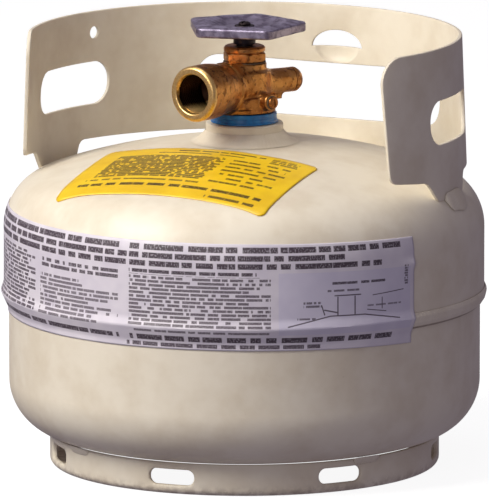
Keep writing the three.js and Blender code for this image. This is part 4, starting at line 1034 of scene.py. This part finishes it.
def upper_shell():
    outer = head_line(UPPER, BOSS_R + 0.3)
    inner = head_line(UPPER, BOSS_R + 0.3, -WALL)[::-1]
    edge = rounded([(SHELL_R, UPPER_TANGENT_Z, 0), (SHELL_R, SEAM_Z, 0.5),
                    (SHELL_R - WALL, SEAM_Z, 0.5), (SHELL_R - WALL, UPPER_TANGENT_Z, 0)])
    section = np.concatenate([outer, edge[1:-1], inner])
    ring_of("painted_upper_shell", section, ROUND, PAINT, FIXED, "ivory_paint", "upper_shell")


def lower_shell():
    outer = head_line(LOWER, 0.0)
    inner = head_line(LOWER, 0.0, -WALL)[::-1]
    rim = SEAM_Z + LAP
    edge = rounded([(LOWER_R, LOWER_TANGENT_Z, 0), (LOWER_R, rim, 0.5),
                    (LOWER_R - WALL, rim, 0.5), (LOWER_R - WALL, LOWER_TANGENT_Z, 0)])
    section = np.concatenate([outer, edge[1:-1], inner])
    ring_of("painted_lower_shell", section, ROUND, PAINT, FIXED, "ivory_paint", "lower_shell")


def girth_weld():
    """Bead section carried round, its face pushed out and in by a low chevron ripple."""
    low, top = BEAD_LOW_Z, BEAD_TOP_Z
    section = rounded([
        (LOWER_R + 0.3, low, 0.0), (LOWER_R + 1.7, low + 0.8, 0.9), (BEAD_R - 1.0, SEAM_Z, 1.5),
        (BEAD_R, SEAM_Z + 4.0, 2.0), (BEAD_R - 0.9, top - 0.4, 0.4), (SHELL_R + 0.35, top, 0.0),
        (SHELL_R + 0.3, SEAM_Z - 0.3, 0.0), (LOWER_R + 0.3, SEAM_Z - 0.3, 0.0),
    ], closed=True, run=1.2)
    waves = 300

    def ripple(radius, height, angle):
        face = np.clip((radius - SHELL_R + 1.0) / 2.5, 0, 1) * (height < top - 0.3)
        phase = waves * angle + 1.1 * np.cos((height - SEAM_Z) * 0.45)
        drift = 0.12 * np.sin(5 * angle + 1.0) + 0.08 * np.sin(11 * angle)
        return radius + face * (0.09 * np.sin(phase) - 0.12 + drift * 0.5), height

    points, faces = spun(section, waves * 6, ripple)
    place(mesh_of("painted_girth_weld", points, faces), PAINT, FIXED, "ivory_paint", "girth_weld")


def valve_boss():
    section = rounded([
        (BOSS_BORE_R, BOSS_BOTTOM_Z, 0.3), (29.0, BOSS_BOTTOM_Z, 0.5), (29.0, BOSS_BOTTOM_Z + 4, 0.5),
        (BOSS_R, BOSS_BOTTOM_Z + 4, 0.5), (BOSS_R, BOSS_TOP_Z, 1.3), (BOSS_BORE_R, BOSS_TOP_Z, 0.4),
    ], closed=True, run=2.0)
    ring_of("painted_valve_boss", section, 160, PAINT, FIXED, "ivory_paint", "valve_boss")


def fillet_weld(inner, reach, high):
    """Section of a bead that leans from an upright wall down onto the dome: a shallow hollow curve."""
    t = np.linspace(0, 1, 18)
    across = inner + reach * t
    ground = head_height(UPPER, across, 0.3)
    face = ground + high * (1 - t) ** 1.9
    face[-1] = ground[-1]
    under = np.stack([across[::-1], ground[::-1]], 1)
    return np.concatenate([np.stack([across, face], 1), under[1:]])


def boss_weld():
    def ripple(radius, height, angle):
        ground = head_height(UPPER, radius, 0.3)
        rise = np.clip(height - ground, 0, None)
        wave = 0.16 * np.sin(72 * angle + 0.8 * radius) + 0.2 * np.sin(3 * angle + 0.6)
        return radius, ground + rise * (1 + 0.07 * wave) + 0.12 * wave * (rise > 0.05)

    section = fillet_weld(BOSS_R + 0.3, BOSS_WELD_REACH, 6.6)
    points, faces = spun(section, 72 * 6, ripple)
    place(mesh_of("painted_boss_weld", points, faces), PAINT, FIXED, "ivory_paint", "boss_weld")


def collar_bead(name, bearing, node):
    """A bead along the foot of the collar: a half-round section carried along its arc, ends rounded off."""
    inner = COLLAR_WIDE_R + 0.75
    half = 5.5
    t = np.linspace(-1, 1, 61)[:, None]
    s = np.linspace(0, 1, 13)[None]
    swell = np.sqrt(np.clip(1 - t**8, 0, 1)) * (1 + 0.05 * np.sin(46 * t)) * (1 + 0.06 * np.sin(5 * t + 1))
    reach = 6.0 * swell
    across = inner + reach * np.clip(s * 1.05, 0, 1)
    ground = head_height(UPPER, across, 0.55)
    rise = 4.9 * swell * (1 - s) ** 0.8 + 0.9 * swell * np.sin(np.pi * s)
    top = np.stack(np.broadcast_arrays(across, ground + rise), 2)
    bottom = np.stack(np.broadcast_arrays(across, ground), 2)
    loop = np.concatenate([top, bottom[:, ::-1]], 1)
    lay_bead(name, node, loop, np.radians(bearing + half * t))


def lay_bead(name, node, loop, turn):
    """Carries a bead's sections (distance, height) round to their bearings and closes its ends."""
    points = np.stack([loop[..., 0] * np.sin(turn), -loop[..., 0] * np.cos(turn), loop[..., 1]], 2)
    rows, columns = points.shape[:2]
    mesh = mesh_of(name, points.reshape(-1, 3), quads(rows, columns, False, True))
    close_holes(mesh)
    place(mesh, PAINT, FIXED, "ivory_paint", node)


def close_holes(mesh):
    """Fills the open ends of a swept piece."""
    work = bmesh.new()
    work.from_mesh(mesh)
    bmesh.ops.remove_doubles(work, verts=work.verts, dist=2e-5)
    bmesh.ops.holes_fill(work, edges=[e for e in work.edges if e.is_boundary])
    bmesh.ops.recalc_face_normals(work, faces=work.faces)
    work.to_mesh(mesh)
    work.free()


def foot_bead(number, bearing):
    """A short bead between the foot ring and the lower head: its section shrinks to nothing at both ends."""
    inner = FOOT_R + 0.3
    half = math.degrees(10.0 / FOOT_R)
    t = np.linspace(-1, 1, 41)[:, None]
    s = np.linspace(0, 1, 11)[None]
    swell = np.sqrt(np.clip(1 - t**6, 0, 1)) * (1 + 0.06 * np.sin(30 * t))
    across = inner + 3.6 * swell * s
    ceiling = head_height(LOWER, across, 0.6)
    drop = 4.0 * swell * (1 - s) ** 1.1 + 0.5 * swell * np.sin(np.pi * s)
    face = np.stack(np.broadcast_arrays(across, ceiling - drop), 2)
    root = np.stack(np.broadcast_arrays(across, ceiling), 2)
    loop = np.concatenate([face, root[:, ::-1]], 1)
    turn = np.radians(bearing + half * t)
    lay_bead(f"painted_foot_weld_{number}", f"foot_weld_{number}", loop, turn)


# ==== pressed sheet: collar and foot ring ====


def outline(corners, turn=8.0, run=6.0):
    """Closed outline through corners (x, y, radius)."""
    path = rounded(corners, closed=True, turn=turn, run=run, hold=0.0)
    return path[np.linalg.norm(path - np.roll(path, -1, axis=0), axis=1) > 0.05]


def slot_outline(middle, wide, low, high, corner):
    """Closed outline of a rounded rectangle that reaches `wide` to each side of its middle."""
    return outline([(middle - wide, low, corner), (middle + wide, low, corner),
                    (middle + wide, high, corner), (middle - wide, high, corner)])


def collar():
    """The flat blank with its holes, bent round the axis on a slight cone; the scoop is pushed outwards."""
    arc = math.radians(1) * COLLAR_WIDE_R
    start = COLLAR_END * arc
    lean = (COLLAR_END + COLLAR_END_LEAN) * arc
    whole = 360 * arc
    back = 180 * arc
    foot_from, foot_to = COLLAR_FOOT[0] * arc, COLLAR_FOOT[1] * arc
    back_from = (180 - COLLAR_BACK_FOOT) * arc
    cone = (COLLAR_WIDE_R - COLLAR_TOP_R) / (COLLAR_TOP_Z - COLLAR_EDGE_Z)
    floor = float(head_height(UPPER, COLLAR_WIDE_R + 0.5, 0.35))
    half = [
        (start, COLLAR_TOP_Z, 17), (lean, COLLAR_END_EDGE_Z, 7),
        (foot_from - COLLAR_FOOT_SLOPE, COLLAR_EDGE_Z, 9), (foot_from, floor, 0),
        (foot_to, floor, 0), (foot_to + 4, COLLAR_EDGE_Z, 6),
        (back_from - 4, COLLAR_EDGE_Z, 6), (back_from, floor, 0),
    ]
    rest = [(whole - x, y, radius) for x, y, radius in reversed(half)]
    blank = outline(half + rest)
    holes = []
    for middle in (HAND_HOLE_AT * arc, whole - HAND_HOLE_AT * arc):
        wide = HAND_HOLE_HALF * arc
        low, high = HAND_HOLE_Z
        holes.append(slot_outline(middle, wide, low, high, HAND_HOLE_CORNER))
    wide = WINDOW_HALF * arc
    low, high = WINDOW_Z
    window = slot_outline(back, wide, low, high, WINDOW_CORNER)
    sag = WINDOW_DIP * (1 - ((window[:, 0] - back) / wide) ** 2)
    holes.append(window - np.stack([np.zeros_like(sag), sag], 1))
    angle = np.linspace(0, np.pi, 25)
    holes.append(np.stack([back + VENT_HALF * np.cos(angle), VENT_Z + VENT_HIGH * np.sin(angle)], 1))
    angle = np.linspace(0, 2 * np.pi, 25)[:-1]
    middle = whole + TAG_HOLE_AT * arc
    holes.append(np.stack([middle + TAG_HOLE_R * np.cos(angle), TAG_HOLE_Z + TAG_HOLE_R * np.sin(angle)], 1))
    scoop = VENT_HALF * 0.86
    across = np.union1d(np.arange(math.ceil(start), whole - start, 4.0),
                        np.arange(back - scoop - 2, back + scoop + 2, 1.2))
    across = across[np.concatenate([[True], np.diff(across) > 0.4])]
    upward = np.arange(VENT_Z - SCOOP_HIGH - 1, VENT_Z, 1.1)
    blank, holes = inset(blank, RIM), [inset(hole, -RIM) for hole in holes]
    plate = flat_plate([blank, *holes], across, upward, (back - scoop - 2, back + scoop + 2))

    def bend(x, y, depth):
        radius = COLLAR_TOP_R + cone * (COLLAR_TOP_Z - y) - 0.5 * COLLAR_WALL + depth
        side = (x - back) / scoop
        drop = (VENT_Z - y) / SCOOP_HIGH
        bulge = np.clip(1 - side**2 - np.clip(drop, 0, 2) ** 2, 0, 1) * (y <= VENT_Z + 0.01)
        radius = radius + 0.9 * SCOOP_DEEP * np.sqrt(bulge)
        turn = x / COLLAR_WIDE_R
        return np.stack([radius * np.sin(turn), -radius * np.cos(turn), y], 1)

    mesh = thick_sheet("painted_collar", plate, COLLAR_WALL, bend)
    place(mesh, PAINT, FIXED, "ivory_paint", "collar", sharp=50.0)


def face_out(mesh):
    """Turns an open sheet so that its faces look away from the axis."""
    outward = (read_faces(mesh, "center")[:, :2] * read_faces(mesh, "normal")[:, :2]).sum()
    if outward < 0:
        mesh.flip_normals()


def foot_ring():
    """Flat strip with its slots, carried along an L section: the floor lip, the bend, then the wall."""
    middle_r = FOOT_R - 0.5 * FOOT_WALL
    bend = 3.2
    lip = FOOT_LIP - bend + 0.5 * FOOT_WALL
    quarter = bend * math.pi / 2
    wall = FOOT_TOP_Z - 0.5 * FOOT_WALL - bend
    whole = 2 * math.pi * FOOT_R
    slots = []
    wide, tall = FOOT_SLOT_LONG / 2, FOOT_SLOT_HIGH / 2
    slot_y = lip + quarter + FOOT_SLOT_Z - 0.5 * FOOT_WALL - bend
    shift = 0.5 * whole / FOOT_SLOTS
    for i in range(FOOT_SLOTS):
        middle = shift + i * whole / FOOT_SLOTS
        slots.append(slot_outline(middle, wide, slot_y - tall, slot_y + tall, FOOT_SLOT_CORNER))
    top = lip + quarter + wall
    blank = np.array([[0, RIM], [whole, RIM], [whole, top - RIM], [0, top - RIM]], float)
    slots = [inset(slot, -RIM) for slot in slots]
    across = np.arange(4.0, whole - 2, whole / 200)
    upward = lip + quarter * np.linspace(0, 1, 8)
    plate = flat_plate([blank, *slots], across, np.concatenate([[0.5 * lip], upward, [top - 2]]))

    def bend_up(x, y, depth):
        angle = np.clip((y - lip) / bend, 0, math.pi / 2)
        reach = bend + depth
        radius = middle_r - bend - np.clip(lip - y, 0, None) + reach * np.sin(angle)
        height = 0.5 * FOOT_WALL + bend - reach * np.cos(angle) + np.clip(y - lip - quarter, 0, None)
        # the slot's rim is pressed slightly inwards
        centre = np.round((x - shift) / (whole / FOOT_SLOTS)) * whole / FOOT_SLOTS + shift
        away = np.hypot(np.clip(np.abs(x - centre) - wide + tall, 0, None), y - slot_y) - tall
        radius = radius - 0.9 * np.exp(-np.clip(away, 0, None) / 1.2) * (angle >= math.pi / 2)
        turn = (x - shift) / FOOT_R + math.radians(FOOT_SLOT_FIRST)
        return np.stack([radius * np.sin(turn), -radius * np.cos(turn), height], 1)

    mesh = thick_sheet("painted_foot_ring", plate, FOOT_WALL, bend_up, (0.0, whole))
    place(mesh, PAINT, FIXED, "ivory_paint", "foot_ring", sharp=50.0)


# ==== labels ====


def skin_radius(z):
    """How far from the axis the cylinder's outside is at a height, over the eased step of the seam."""
    step = np.interp(z, [BEAD_LOW_Z - 3, BEAD_LOW_Z + 1, SEAM_Z + 3.5, BEAD_TOP_Z + 2.5],
                     [LOWER_R, LOWER_R + 1.9, BEAD_R + 0.1, SHELL_R])
    rise = np.clip(z - UPPER_TANGENT_Z, 0, KNUCKLE)
    knuckle = SHELL_R - KNUCKLE + np.sqrt(KNUCKLE**2 - rise**2)
    return np.where(z > BEAD_TOP_Z + 2.5, knuckle, step)


def wrap_label():
    """Film on the shell: bearing along one parameter, height along the other, leaning down at +X."""
    bearing = np.linspace(-WRAP_HALF, WRAP_HALF, 281)[:, None]
    t = np.linspace(0, 1, 75)[None]
    high = WRAP_HIGH - WRAP_LOW
    sink = WRAP_SLOPE * (bearing / WRAP_HALF) * np.abs(bearing / WRAP_HALF)
    z = WRAP_LOW + high * t - sink
    kernel = [skin_radius(z + shift) for shift in (-1.2, -0.6, 0.0, 0.6, 1.2)]
    radius = np.maximum(sum(kernel) / len(kernel), skin_radius(z)) + 0.6
    arc = bearing * math.radians(1) * SHELL_R
    curl = np.clip((arc - 172) / 17, 0, 1) ** 2 * np.exp(-((t * high - (high - 17)) / 3.0) ** 2)
    wave = 0.08 * np.sin(arc / 9.0 + 4 * t) * np.sin(5 * t + arc / 31)
    radius = radius + 1.3 * curl + wave
    turn = np.radians(bearing) + 0 * t
    points = np.stack([radius * np.sin(turn), -radius * np.cos(turn), z], 2)
    rows, columns = points.shape[:2]
    faces = quads(rows, columns, False, False)
    mesh = mesh_of("printed_wrap_label", points.reshape(-1, 3), faces)
    add_print_map(mesh, (arc + 0 * t).ravel(), (high * t + 0 * arc).ravel())
    face_out(mesh)
    place(mesh, WHITE, FIXED, "white_label", "wrap_label", modifiers=[
        ("SOLIDIFY", {"thickness": 0.25 * MM, "offset": -1.0}),
    ])


def dome_label():
    """Film on the dome: a rounded rectangle in plan, each point lifted to the dome's height."""
    left, right = DOME_LABEL_X
    near, far = DOME_LABEL_Y
    blank = outline([(left, near, 5), (right, near, 5), (right, far, 5), (left, far, 5)])
    mesh = flat_plate([blank], np.arange(left + 3, right, 3.0), np.arange(near + 3, far, 3.0))
    mesh.name = "printed_dome_label"
    flat = read_points(mesh)
    x, y = flat[:, 0], flat[:, 1]
    z = head_height(UPPER, np.hypot(x, y), 0.6) + 0.06 * np.sin(x / 7) * np.sin(y / 9)
    write_points(mesh, np.stack([x, y, z], 1))
    add_print_map(mesh, x, y)
    place(mesh, YELLOW, FIXED, "yellow_label", "dome_label", modifiers=[
        ("SOLIDIFY", {"thickness": 0.25 * MM, "offset": -1.0}),
    ])


# ==== valve ====


def thread_seal():
    """Sleeve with a flared foot and a shallow groove."""
    low, high = BOSS_TOP_Z + 0.3, BOSS_TOP_Z + 6.9
    section = rounded([
        (13.6, low, 0.3), (22.0, low, 0.4), (21.7, low + 0.9, 0.4), (21.0, low + 1.6, 0.5),
        (20.85, low + 3.4, 0.2), (20.55, low + 3.7, 0.2), (20.8, low + 4.0, 0.2),
        (20.7, high, 0.6), (13.6, high, 0.3),
    ], closed=True, run=1.0)
    ring_of("blue_thread_seal", section, 160, SEAL, FIXED, "blue_seal", "thread_seal")


def forging(x, y, z):
    """Field of the valve body: trunk, base, hexagon, barrel and bosses blended, then bored."""
    h = z - BOSS_TOP_Z
    away = np.hypot(x, y)
    trunk = turned(h, away, [6.9, 33.0, 35.0, 38.7], [16.2, 16.2, 14.2, 14.2], 0.7)
    shank = turned(h, away, [-24.6, -23.6, 7.4], [12.3, 13.3, 13.3], 0.3)
    base = turned(h, away, [7.2, 10.4], [20.0, 20.0], 1.0)
    flats = trim(hexagonal(x, y, 23.0, OUTLET_AT + 8), np.abs(h - 13.9) - 3.8, 0.8)
    flats = trim(flats, away - 22.3 + np.clip(np.abs(h - 13.9) - 2.6, 0, None) * 1.4, 0.8)
    along, off, _ = on_bearing(x, y, z, OUTLET_AT, OUTLET_Z)
    barrel = turned(along, off, [0, 16.4, 31.7, 38.2, 52.8, 54.6], [14.0, 14.6, 17.2, 18.0, 18.0, 16.8], 0.8)
    ridge = turned(along, off, [20.0, 21.2, 22.4], [16.0, 16.7, 16.0], 0.6)
    behind, beside, side = on_bearing(x, y, z, RELIEF_AT, OUTLET_Z)
    relief = turned(behind, beside, [0, 12, 30, RELIEF_END], [9.2, 8.4, 8.0, 8.0], 0.8)
    web = np.maximum(np.abs(side) - 2.4, np.abs(z - OUTLET_Z + 7.0) - 4.5)
    web = np.maximum(web, np.abs(behind - 14) - 14)
    screw, close, _ = on_bearing(x, y, z, BLEEDER_AT, BLEEDER_Z)
    bleeder = turned(screw, close, [0, 18, BLEEDER_END], [6.2, 5.4, 5.2], 0.6)
    pad_along, pad_off, pad_side = on_bearing(x, y, z, 30.0, OUTLET_Z)
    pad = trim(np.maximum(np.abs(pad_side) - 5.5, np.abs(z - OUTLET_Z - 0.5) - 4.0), pad_along - 17.3, 1.0)
    pad = np.maximum(pad, 8 - pad_along)
    solid = join(trunk, base, 1.6)
    solid = join(solid, barrel, 5.0)
    solid = join(solid, relief, 4.0)
    solid = join(solid, web, 2.5)
    solid = join(solid, bleeder, 2.5)
    solid = join(solid, pad, 1.2)
    solid = join(solid, flats, 1.0)
    solid = join(solid, ridge, 0.8)
    solid = np.minimum(solid, shank)
    bore = turned(along, off, [4.5, 23.6, 29.6, 51.6, 62.0], [4.0, 4.0, 12.3, 12.3, 15.2], 0.4)
    chamber = turned(h, away, [18.4, 34.0, 34.01, 44.0], [9.0, 9.0, 11.0, 11.0], 0.3)
    drain = turned(h, away, [-30.0, 19.0], [4.5, 4.5], 0.3)
    cage = turned(behind, beside, [15.0, 45.0], [6.0, 6.0], 0.3)
    needle = turned(screw, close, [11.5, 35.0], [2.6, 2.6], 0.3)
    for hole in (bore, chamber, drain, cage, needle):
        solid = trim(solid, -hole, 0.5)
    return solid


def valve_body():
    low, high = lowest("valve_body") - 1.5, highest("valve_body") + 1.5
    low[0], high[0] = min(low[0], -29.0), max(high[0], 27.0)
    points, faces = skin(forging, low, high, 0.55)
    mesh = mesh_of("forged_valve_body", points, faces)
    mesh.materials.append(FORGED)
    mesh.materials.append(OUTLET)
    mesh.materials.append(BORE)
    # faces inside the outlet get the brass painted with shade and a highlight; the mouth gets the machined
    # brass
    along, off, _ = on_bearing(*(read_faces(mesh, "center").T / MM), OUTLET_AT, OUTLET_Z)
    inside = (off < 12.8) & (along > 4) & (along < OUTLET_REACH - 2.4)
    look = np.where(inside, 2, np.where(along > OUTLET_REACH - 3.2, 1, 0))
    mesh.polygons.foreach_set("material_index", look.astype(np.int32))
    mesh.shade_smooth()
    piece = in_scene(mesh.name, mesh)
    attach(piece, FIXED)
    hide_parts("valve_body")


def outlet_thread():
    """Left-hand female thread: a sleeve whose inner radius follows a rounded V along the helix."""
    pitch = 1.81
    start, end = 31.0, 51.4
    rows = np.linspace(start, end, 180)[:, None]
    angle = 2 * np.pi * np.arange(160)[None] / 160
    phase = (rows / pitch + angle / (2 * np.pi)) % 1
    fade = np.clip((end - rows) / 1.5, 0, 1) * np.clip((rows - start) / 1.5, 0, 1)
    inner = 12.15 - 0.55 * (1 - np.abs(2 * phase - 1)) * fade
    ring = np.stack([inner * np.cos(angle), inner * np.sin(angle), rows + 0 * angle], 2)
    outer = np.stack([12.45 * np.cos(angle), 12.45 * np.sin(angle), 0 * angle], 2)
    far, near = outer + [0, 0, end], outer + [0, 0, start]
    points = np.concatenate([ring, far, near])
    faces = quads(points.shape[0], points.shape[1], True, True)
    mesh = mesh_of("outlet_thread", laid(points.reshape(-1, 3), OUTLET_AT, OUTLET_Z), faces)
    # the thread takes the bore's brass, painted with shade and a highlight
    place(mesh, BORE, FIXED, "brass")


def bonnet_field(x, y, z):
    """Hexagon with chamfered corners, a groove, and a turned collar over it, bored for the stem."""
    h = z - BOSS_TOP_Z
    away = np.hypot(x, y)
    flats = trim(hexagonal(x, y, 14.5, OUTLET_AT + 20), np.abs(h - 42.7) - 2.8, 0.5)
    flats = trim(flats, away - 14.3 + np.clip(np.abs(h - 42.7) - 1.9, 0, None) * 1.2, 0.5)
    groove = turned(h, away, [39.9, 46.6], [12.0, 12.0], 0.3)
    top = turned(h, away, [46.0, 46.4, 48.6, 49.9], [12.6, 13.4, 13.4, 12.2], 0.5)
    thread = turned(h, away, [34.1, 40.2], [10.7, 10.7], 0.3)
    solid = join(join(np.minimum(flats, thread), groove, 0.4), top, 0.4)
    bore = turned(h, away, [20.0, 36.9, 36.91, 60.0], [9.0, 9.0, 5.6, 5.6], 0.3)
    return trim(solid, -bore, 0.4)


def bonnet():
    low, high = lowest("bonnet") - 1.5, highest("bonnet") + 1.5
    low[0], low[1], high[0], high[1] = -16.0, -16.0, 16.0, 16.0
    points, faces = skin(bonnet_field, low, high, 0.32)
    place(mesh_of("turned_bonnet", points, faces), TURNED, FIXED, "brass", "bonnet", sharp=70.0)


def washer_section(inner, outer, low, high, bore_edge, low_edge, high_edge, run):
    """Section of a flat ring, with the radii of its rounded edges."""
    return rounded([(inner, low, bore_edge), (outer, low, low_edge), (outer, high, high_edge),
                    (inner, high, bore_edge)], closed=True, run=run)


def bonnet_gasket():
    low, high = lowest("bonnet_gasket")[2], highest("bonnet_gasket")[2]
    section = washer_section(11.3, 13.8, low, high, 0.15, 0.15, 0.15, 1)
    ring_of("pressed_bonnet_gasket", section, 120, FIBRE, FIXED, "fibre", "bonnet_gasket")


def pentagon(angle, inset):
    """Distance to a five-sided outline with round corners: a flat's secant, then the corner's arc."""
    sector = 2 * math.pi / WHEEL_SIDES
    from_flat = np.abs((angle + sector / 2) % sector - sector / 2)
    flat_r = WHEEL_FLAT_R - inset
    corner = np.maximum(WHEEL_CORNER - inset, 0.5)
    inner = flat_r - corner
    reach = inner / math.cos(sector / 2)
    lean = from_flat - sector / 2
    arc = reach * np.cos(lean) + np.sqrt(np.maximum(corner**2 - (reach * np.sin(lean)) ** 2, 0))
    straight = flat_r / np.cos(from_flat)
    return np.where(np.tan(from_flat) * flat_r < inner * math.tan(sector / 2), straight, arc)


def handwheel():
    """Rows from the hub's foot, out under the wheel, round its five-sided rim and in over the dish.

    Each row is (roundness, size, height): a circle of that radius where the roundness is 1, and
    the five-sided outline that far inside the rim where it is 0.
    """
    low, top = WHEEL_LOW_Z, WHEEL_TOP_Z
    rim = top - WHEEL_CROWN
    under = rounded([(3.4, low - 8.0, 0), (7.2, low - 8.0, 0.6), (7.2, low + 1.0, 1.0),
                     (15.0, low + 1.0, 1.5), (26.0, low, 1.5), (30.0, low, 0)], run=2.0)
    over = rounded([(DISH_R + 2.5, top - 0.5, 0), (DISH_R, top, 1.4), (14.0, low + 3.0, 2.5),
                    (6.0, low + 3.0, 0), (3.4, low + 3.0, 0)], run=2.0)
    edge = rounded([(3.2, low - WHEEL_SKIRT, 0), (0.0, low - WHEEL_SKIRT, 1.3), (0.0, rim, 1.4),
                    (2.6, rim + 0.5, 0)], run=1.2)
    rows = [(1.0, r, z) for r, z in under[:-1]]
    rows += [(0.0, inset, z) for inset, z in edge]
    rows += [(1.0, r, z) for r, z in over]
    rows = np.array(rows)
    around = 360
    angle = 2 * np.pi * np.arange(around) / around
    normal = math.radians(WHEEL_NORMAL)
    size = np.where(rows[:, :1] > 0.5, rows[:, 1:2], pentagon(angle[None], rows[:, 1:2]))
    height = rows[:, 2:] + 0 * angle
    turn = angle + normal
    points = np.stack([size * np.sin(turn), -size * np.cos(turn), height], 2)
    faces = quads(len(rows), around, True, True)
    mesh = mesh_of("cast_handwheel", points.reshape(-1, 3), faces)
    place(mesh, WHEEL, "handwheel", "cast_wheel", "handwheel", sharp=45.0)


def handwheel_washer():
    low, high = lowest("handwheel_washer")[2], highest("handwheel_washer")[2]
    section = washer_section(1.9, 6.4, low, high, 0.2, 0.25, 0.3, 1)
    ring_of("plated_handwheel_washer", section, 96, DARK, "handwheel", "steel", "handwheel_washer")


def screw_field(along, across, side, shank, head_r, seat, tip, slot):
    """Field of a slotted pan-head screw along its own axis."""
    stem = turned(along, across, [tip, tip + 1.0, seat + 0.3], [0.7 * shank, shank, shank], 0.2)
    top = seat + slot["high"]
    beyond = np.clip(across - 0.3 * head_r, 0, None) * 0.9
    dome = np.hypot(beyond, np.clip(along - seat, 0, None) * 1.25) - 0.9 * 0.7 * head_r
    slab = np.abs(along - 0.5 * (seat + top)) - 0.5 * (top - seat)
    crown = trim(trim(across - head_r, slab, 0.5), dome, 0.4)
    solid = np.minimum(stem, crown)
    notch = np.maximum(np.abs(side) - 0.5 * slot["wide"], seat + slot["floor"] - along)
    return trim(solid, -notch, 0.25)


def handwheel_screw():
    low, high = lowest("handwheel_screw"), highest("handwheel_screw")
    seat = highest("handwheel_washer")[2] + 0.3
    slot = {"high": high[2] - seat, "wide": 1.1, "floor": 1.1}

    def field(x, y, z):
        return screw_field(z, np.hypot(x, y), x, 1.6, 4.2, seat, low[2], slot)

    points, faces = skin(field, low - 0.6, high + 0.6, 0.16)
    mesh = mesh_of("slotted_handwheel_screw", points, faces)
    place(mesh, DARK, "handwheel", "steel", "handwheel_screw", sharp=60.0)


def relief_cap():
    """Domed cap with a drilled tip, on a narrower spigot below its rim."""
    start, rim, tip = RELIEF_END - 4.2, RELIEF_END + 0.3, RELIEF_END + 6.8
    section = rounded([
        (2.0, start, 0.2), (5.6, start, 0.3), (5.6, rim, 0.2), (8.0, rim, 0.5), (8.0, rim + 2.4, 2.2),
        (6.2, rim + 5.2, 3.0), (3.6, tip, 1.2), (2.0, tip, 0.4),
    ], closed=True, run=0.9)
    points, faces = spun(section, 120)
    mesh = mesh_of("domed_relief_cap", laid(points, RELIEF_AT, OUTLET_Z), faces)
    place(mesh, TURNED, FIXED, "brass", "relief_cap")


def bleeder_washer():
    section = washer_section(2.9, 4.4, BLEEDER_END + 0.32, BLEEDER_END + 0.98, 0.15, 0.2, 0.2, 0.6)
    points, faces = spun(section, 80)
    mesh = mesh_of("fibre_bleeder_washer", laid(points, BLEEDER_AT, BLEEDER_Z), faces)
    place(mesh, FIBRE, "bleeder_washer", "fibre", "bleeder_washer")


def bleeder_screw():
    slot = {"high": 2.5, "wide": 1.1, "floor": 1.2}

    def field(x, y, z):
        return screw_field(z, np.hypot(x, y), x, 2.1, 4.1, 26.3, 12.0, slot)

    points, faces = skin(field, np.array([-5.0, -5.0, 11.0]), np.array([5.0, 5.0, 29.6]), 0.18)
    mesh = mesh_of("slotted_bleeder_screw", laid(points, BLEEDER_AT, BLEEDER_Z), faces)
    place(mesh, TURNED, "bleeder_screw", "brass", "bleeder_screw", sharp=60.0)


upper_shell()
lower_shell()
girth_weld()
valve_boss()
boss_weld()
for weld_side, weld_bearing in COLLAR_WELDS.items():
    collar_bead(f"painted_collar_weld_{weld_side}", weld_bearing, f"collar_weld_{weld_side}")
for weld_number, weld_bearing in FOOT_WELDS.items():
    foot_bead(weld_number, weld_bearing)
collar()
foot_ring()
wrap_label()
dome_label()
thread_seal()
valve_body()
outlet_thread()
bonnet()
bonnet_gasket()
handwheel()
handwheel_washer()
handwheel_screw()
relief_cap()
bleeder_washer()
bleeder_screw()

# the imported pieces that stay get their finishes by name
KEPT = {
    "dip_tube": TURNED, "upper_stem": DARK, "stem_o_ring": RUBBER, "lower_spindle": TURNED, "seat_disc": RUBBER,
    "relief_disc": RUBBER, "relief_poppet": TURNED, "relief_spring": STEEL,
}
for kept_name, kept_finish in KEPT.items():
    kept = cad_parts[kept_name]
    for kept_slot in kept.material_slots:
        kept_slot.material = kept_finish
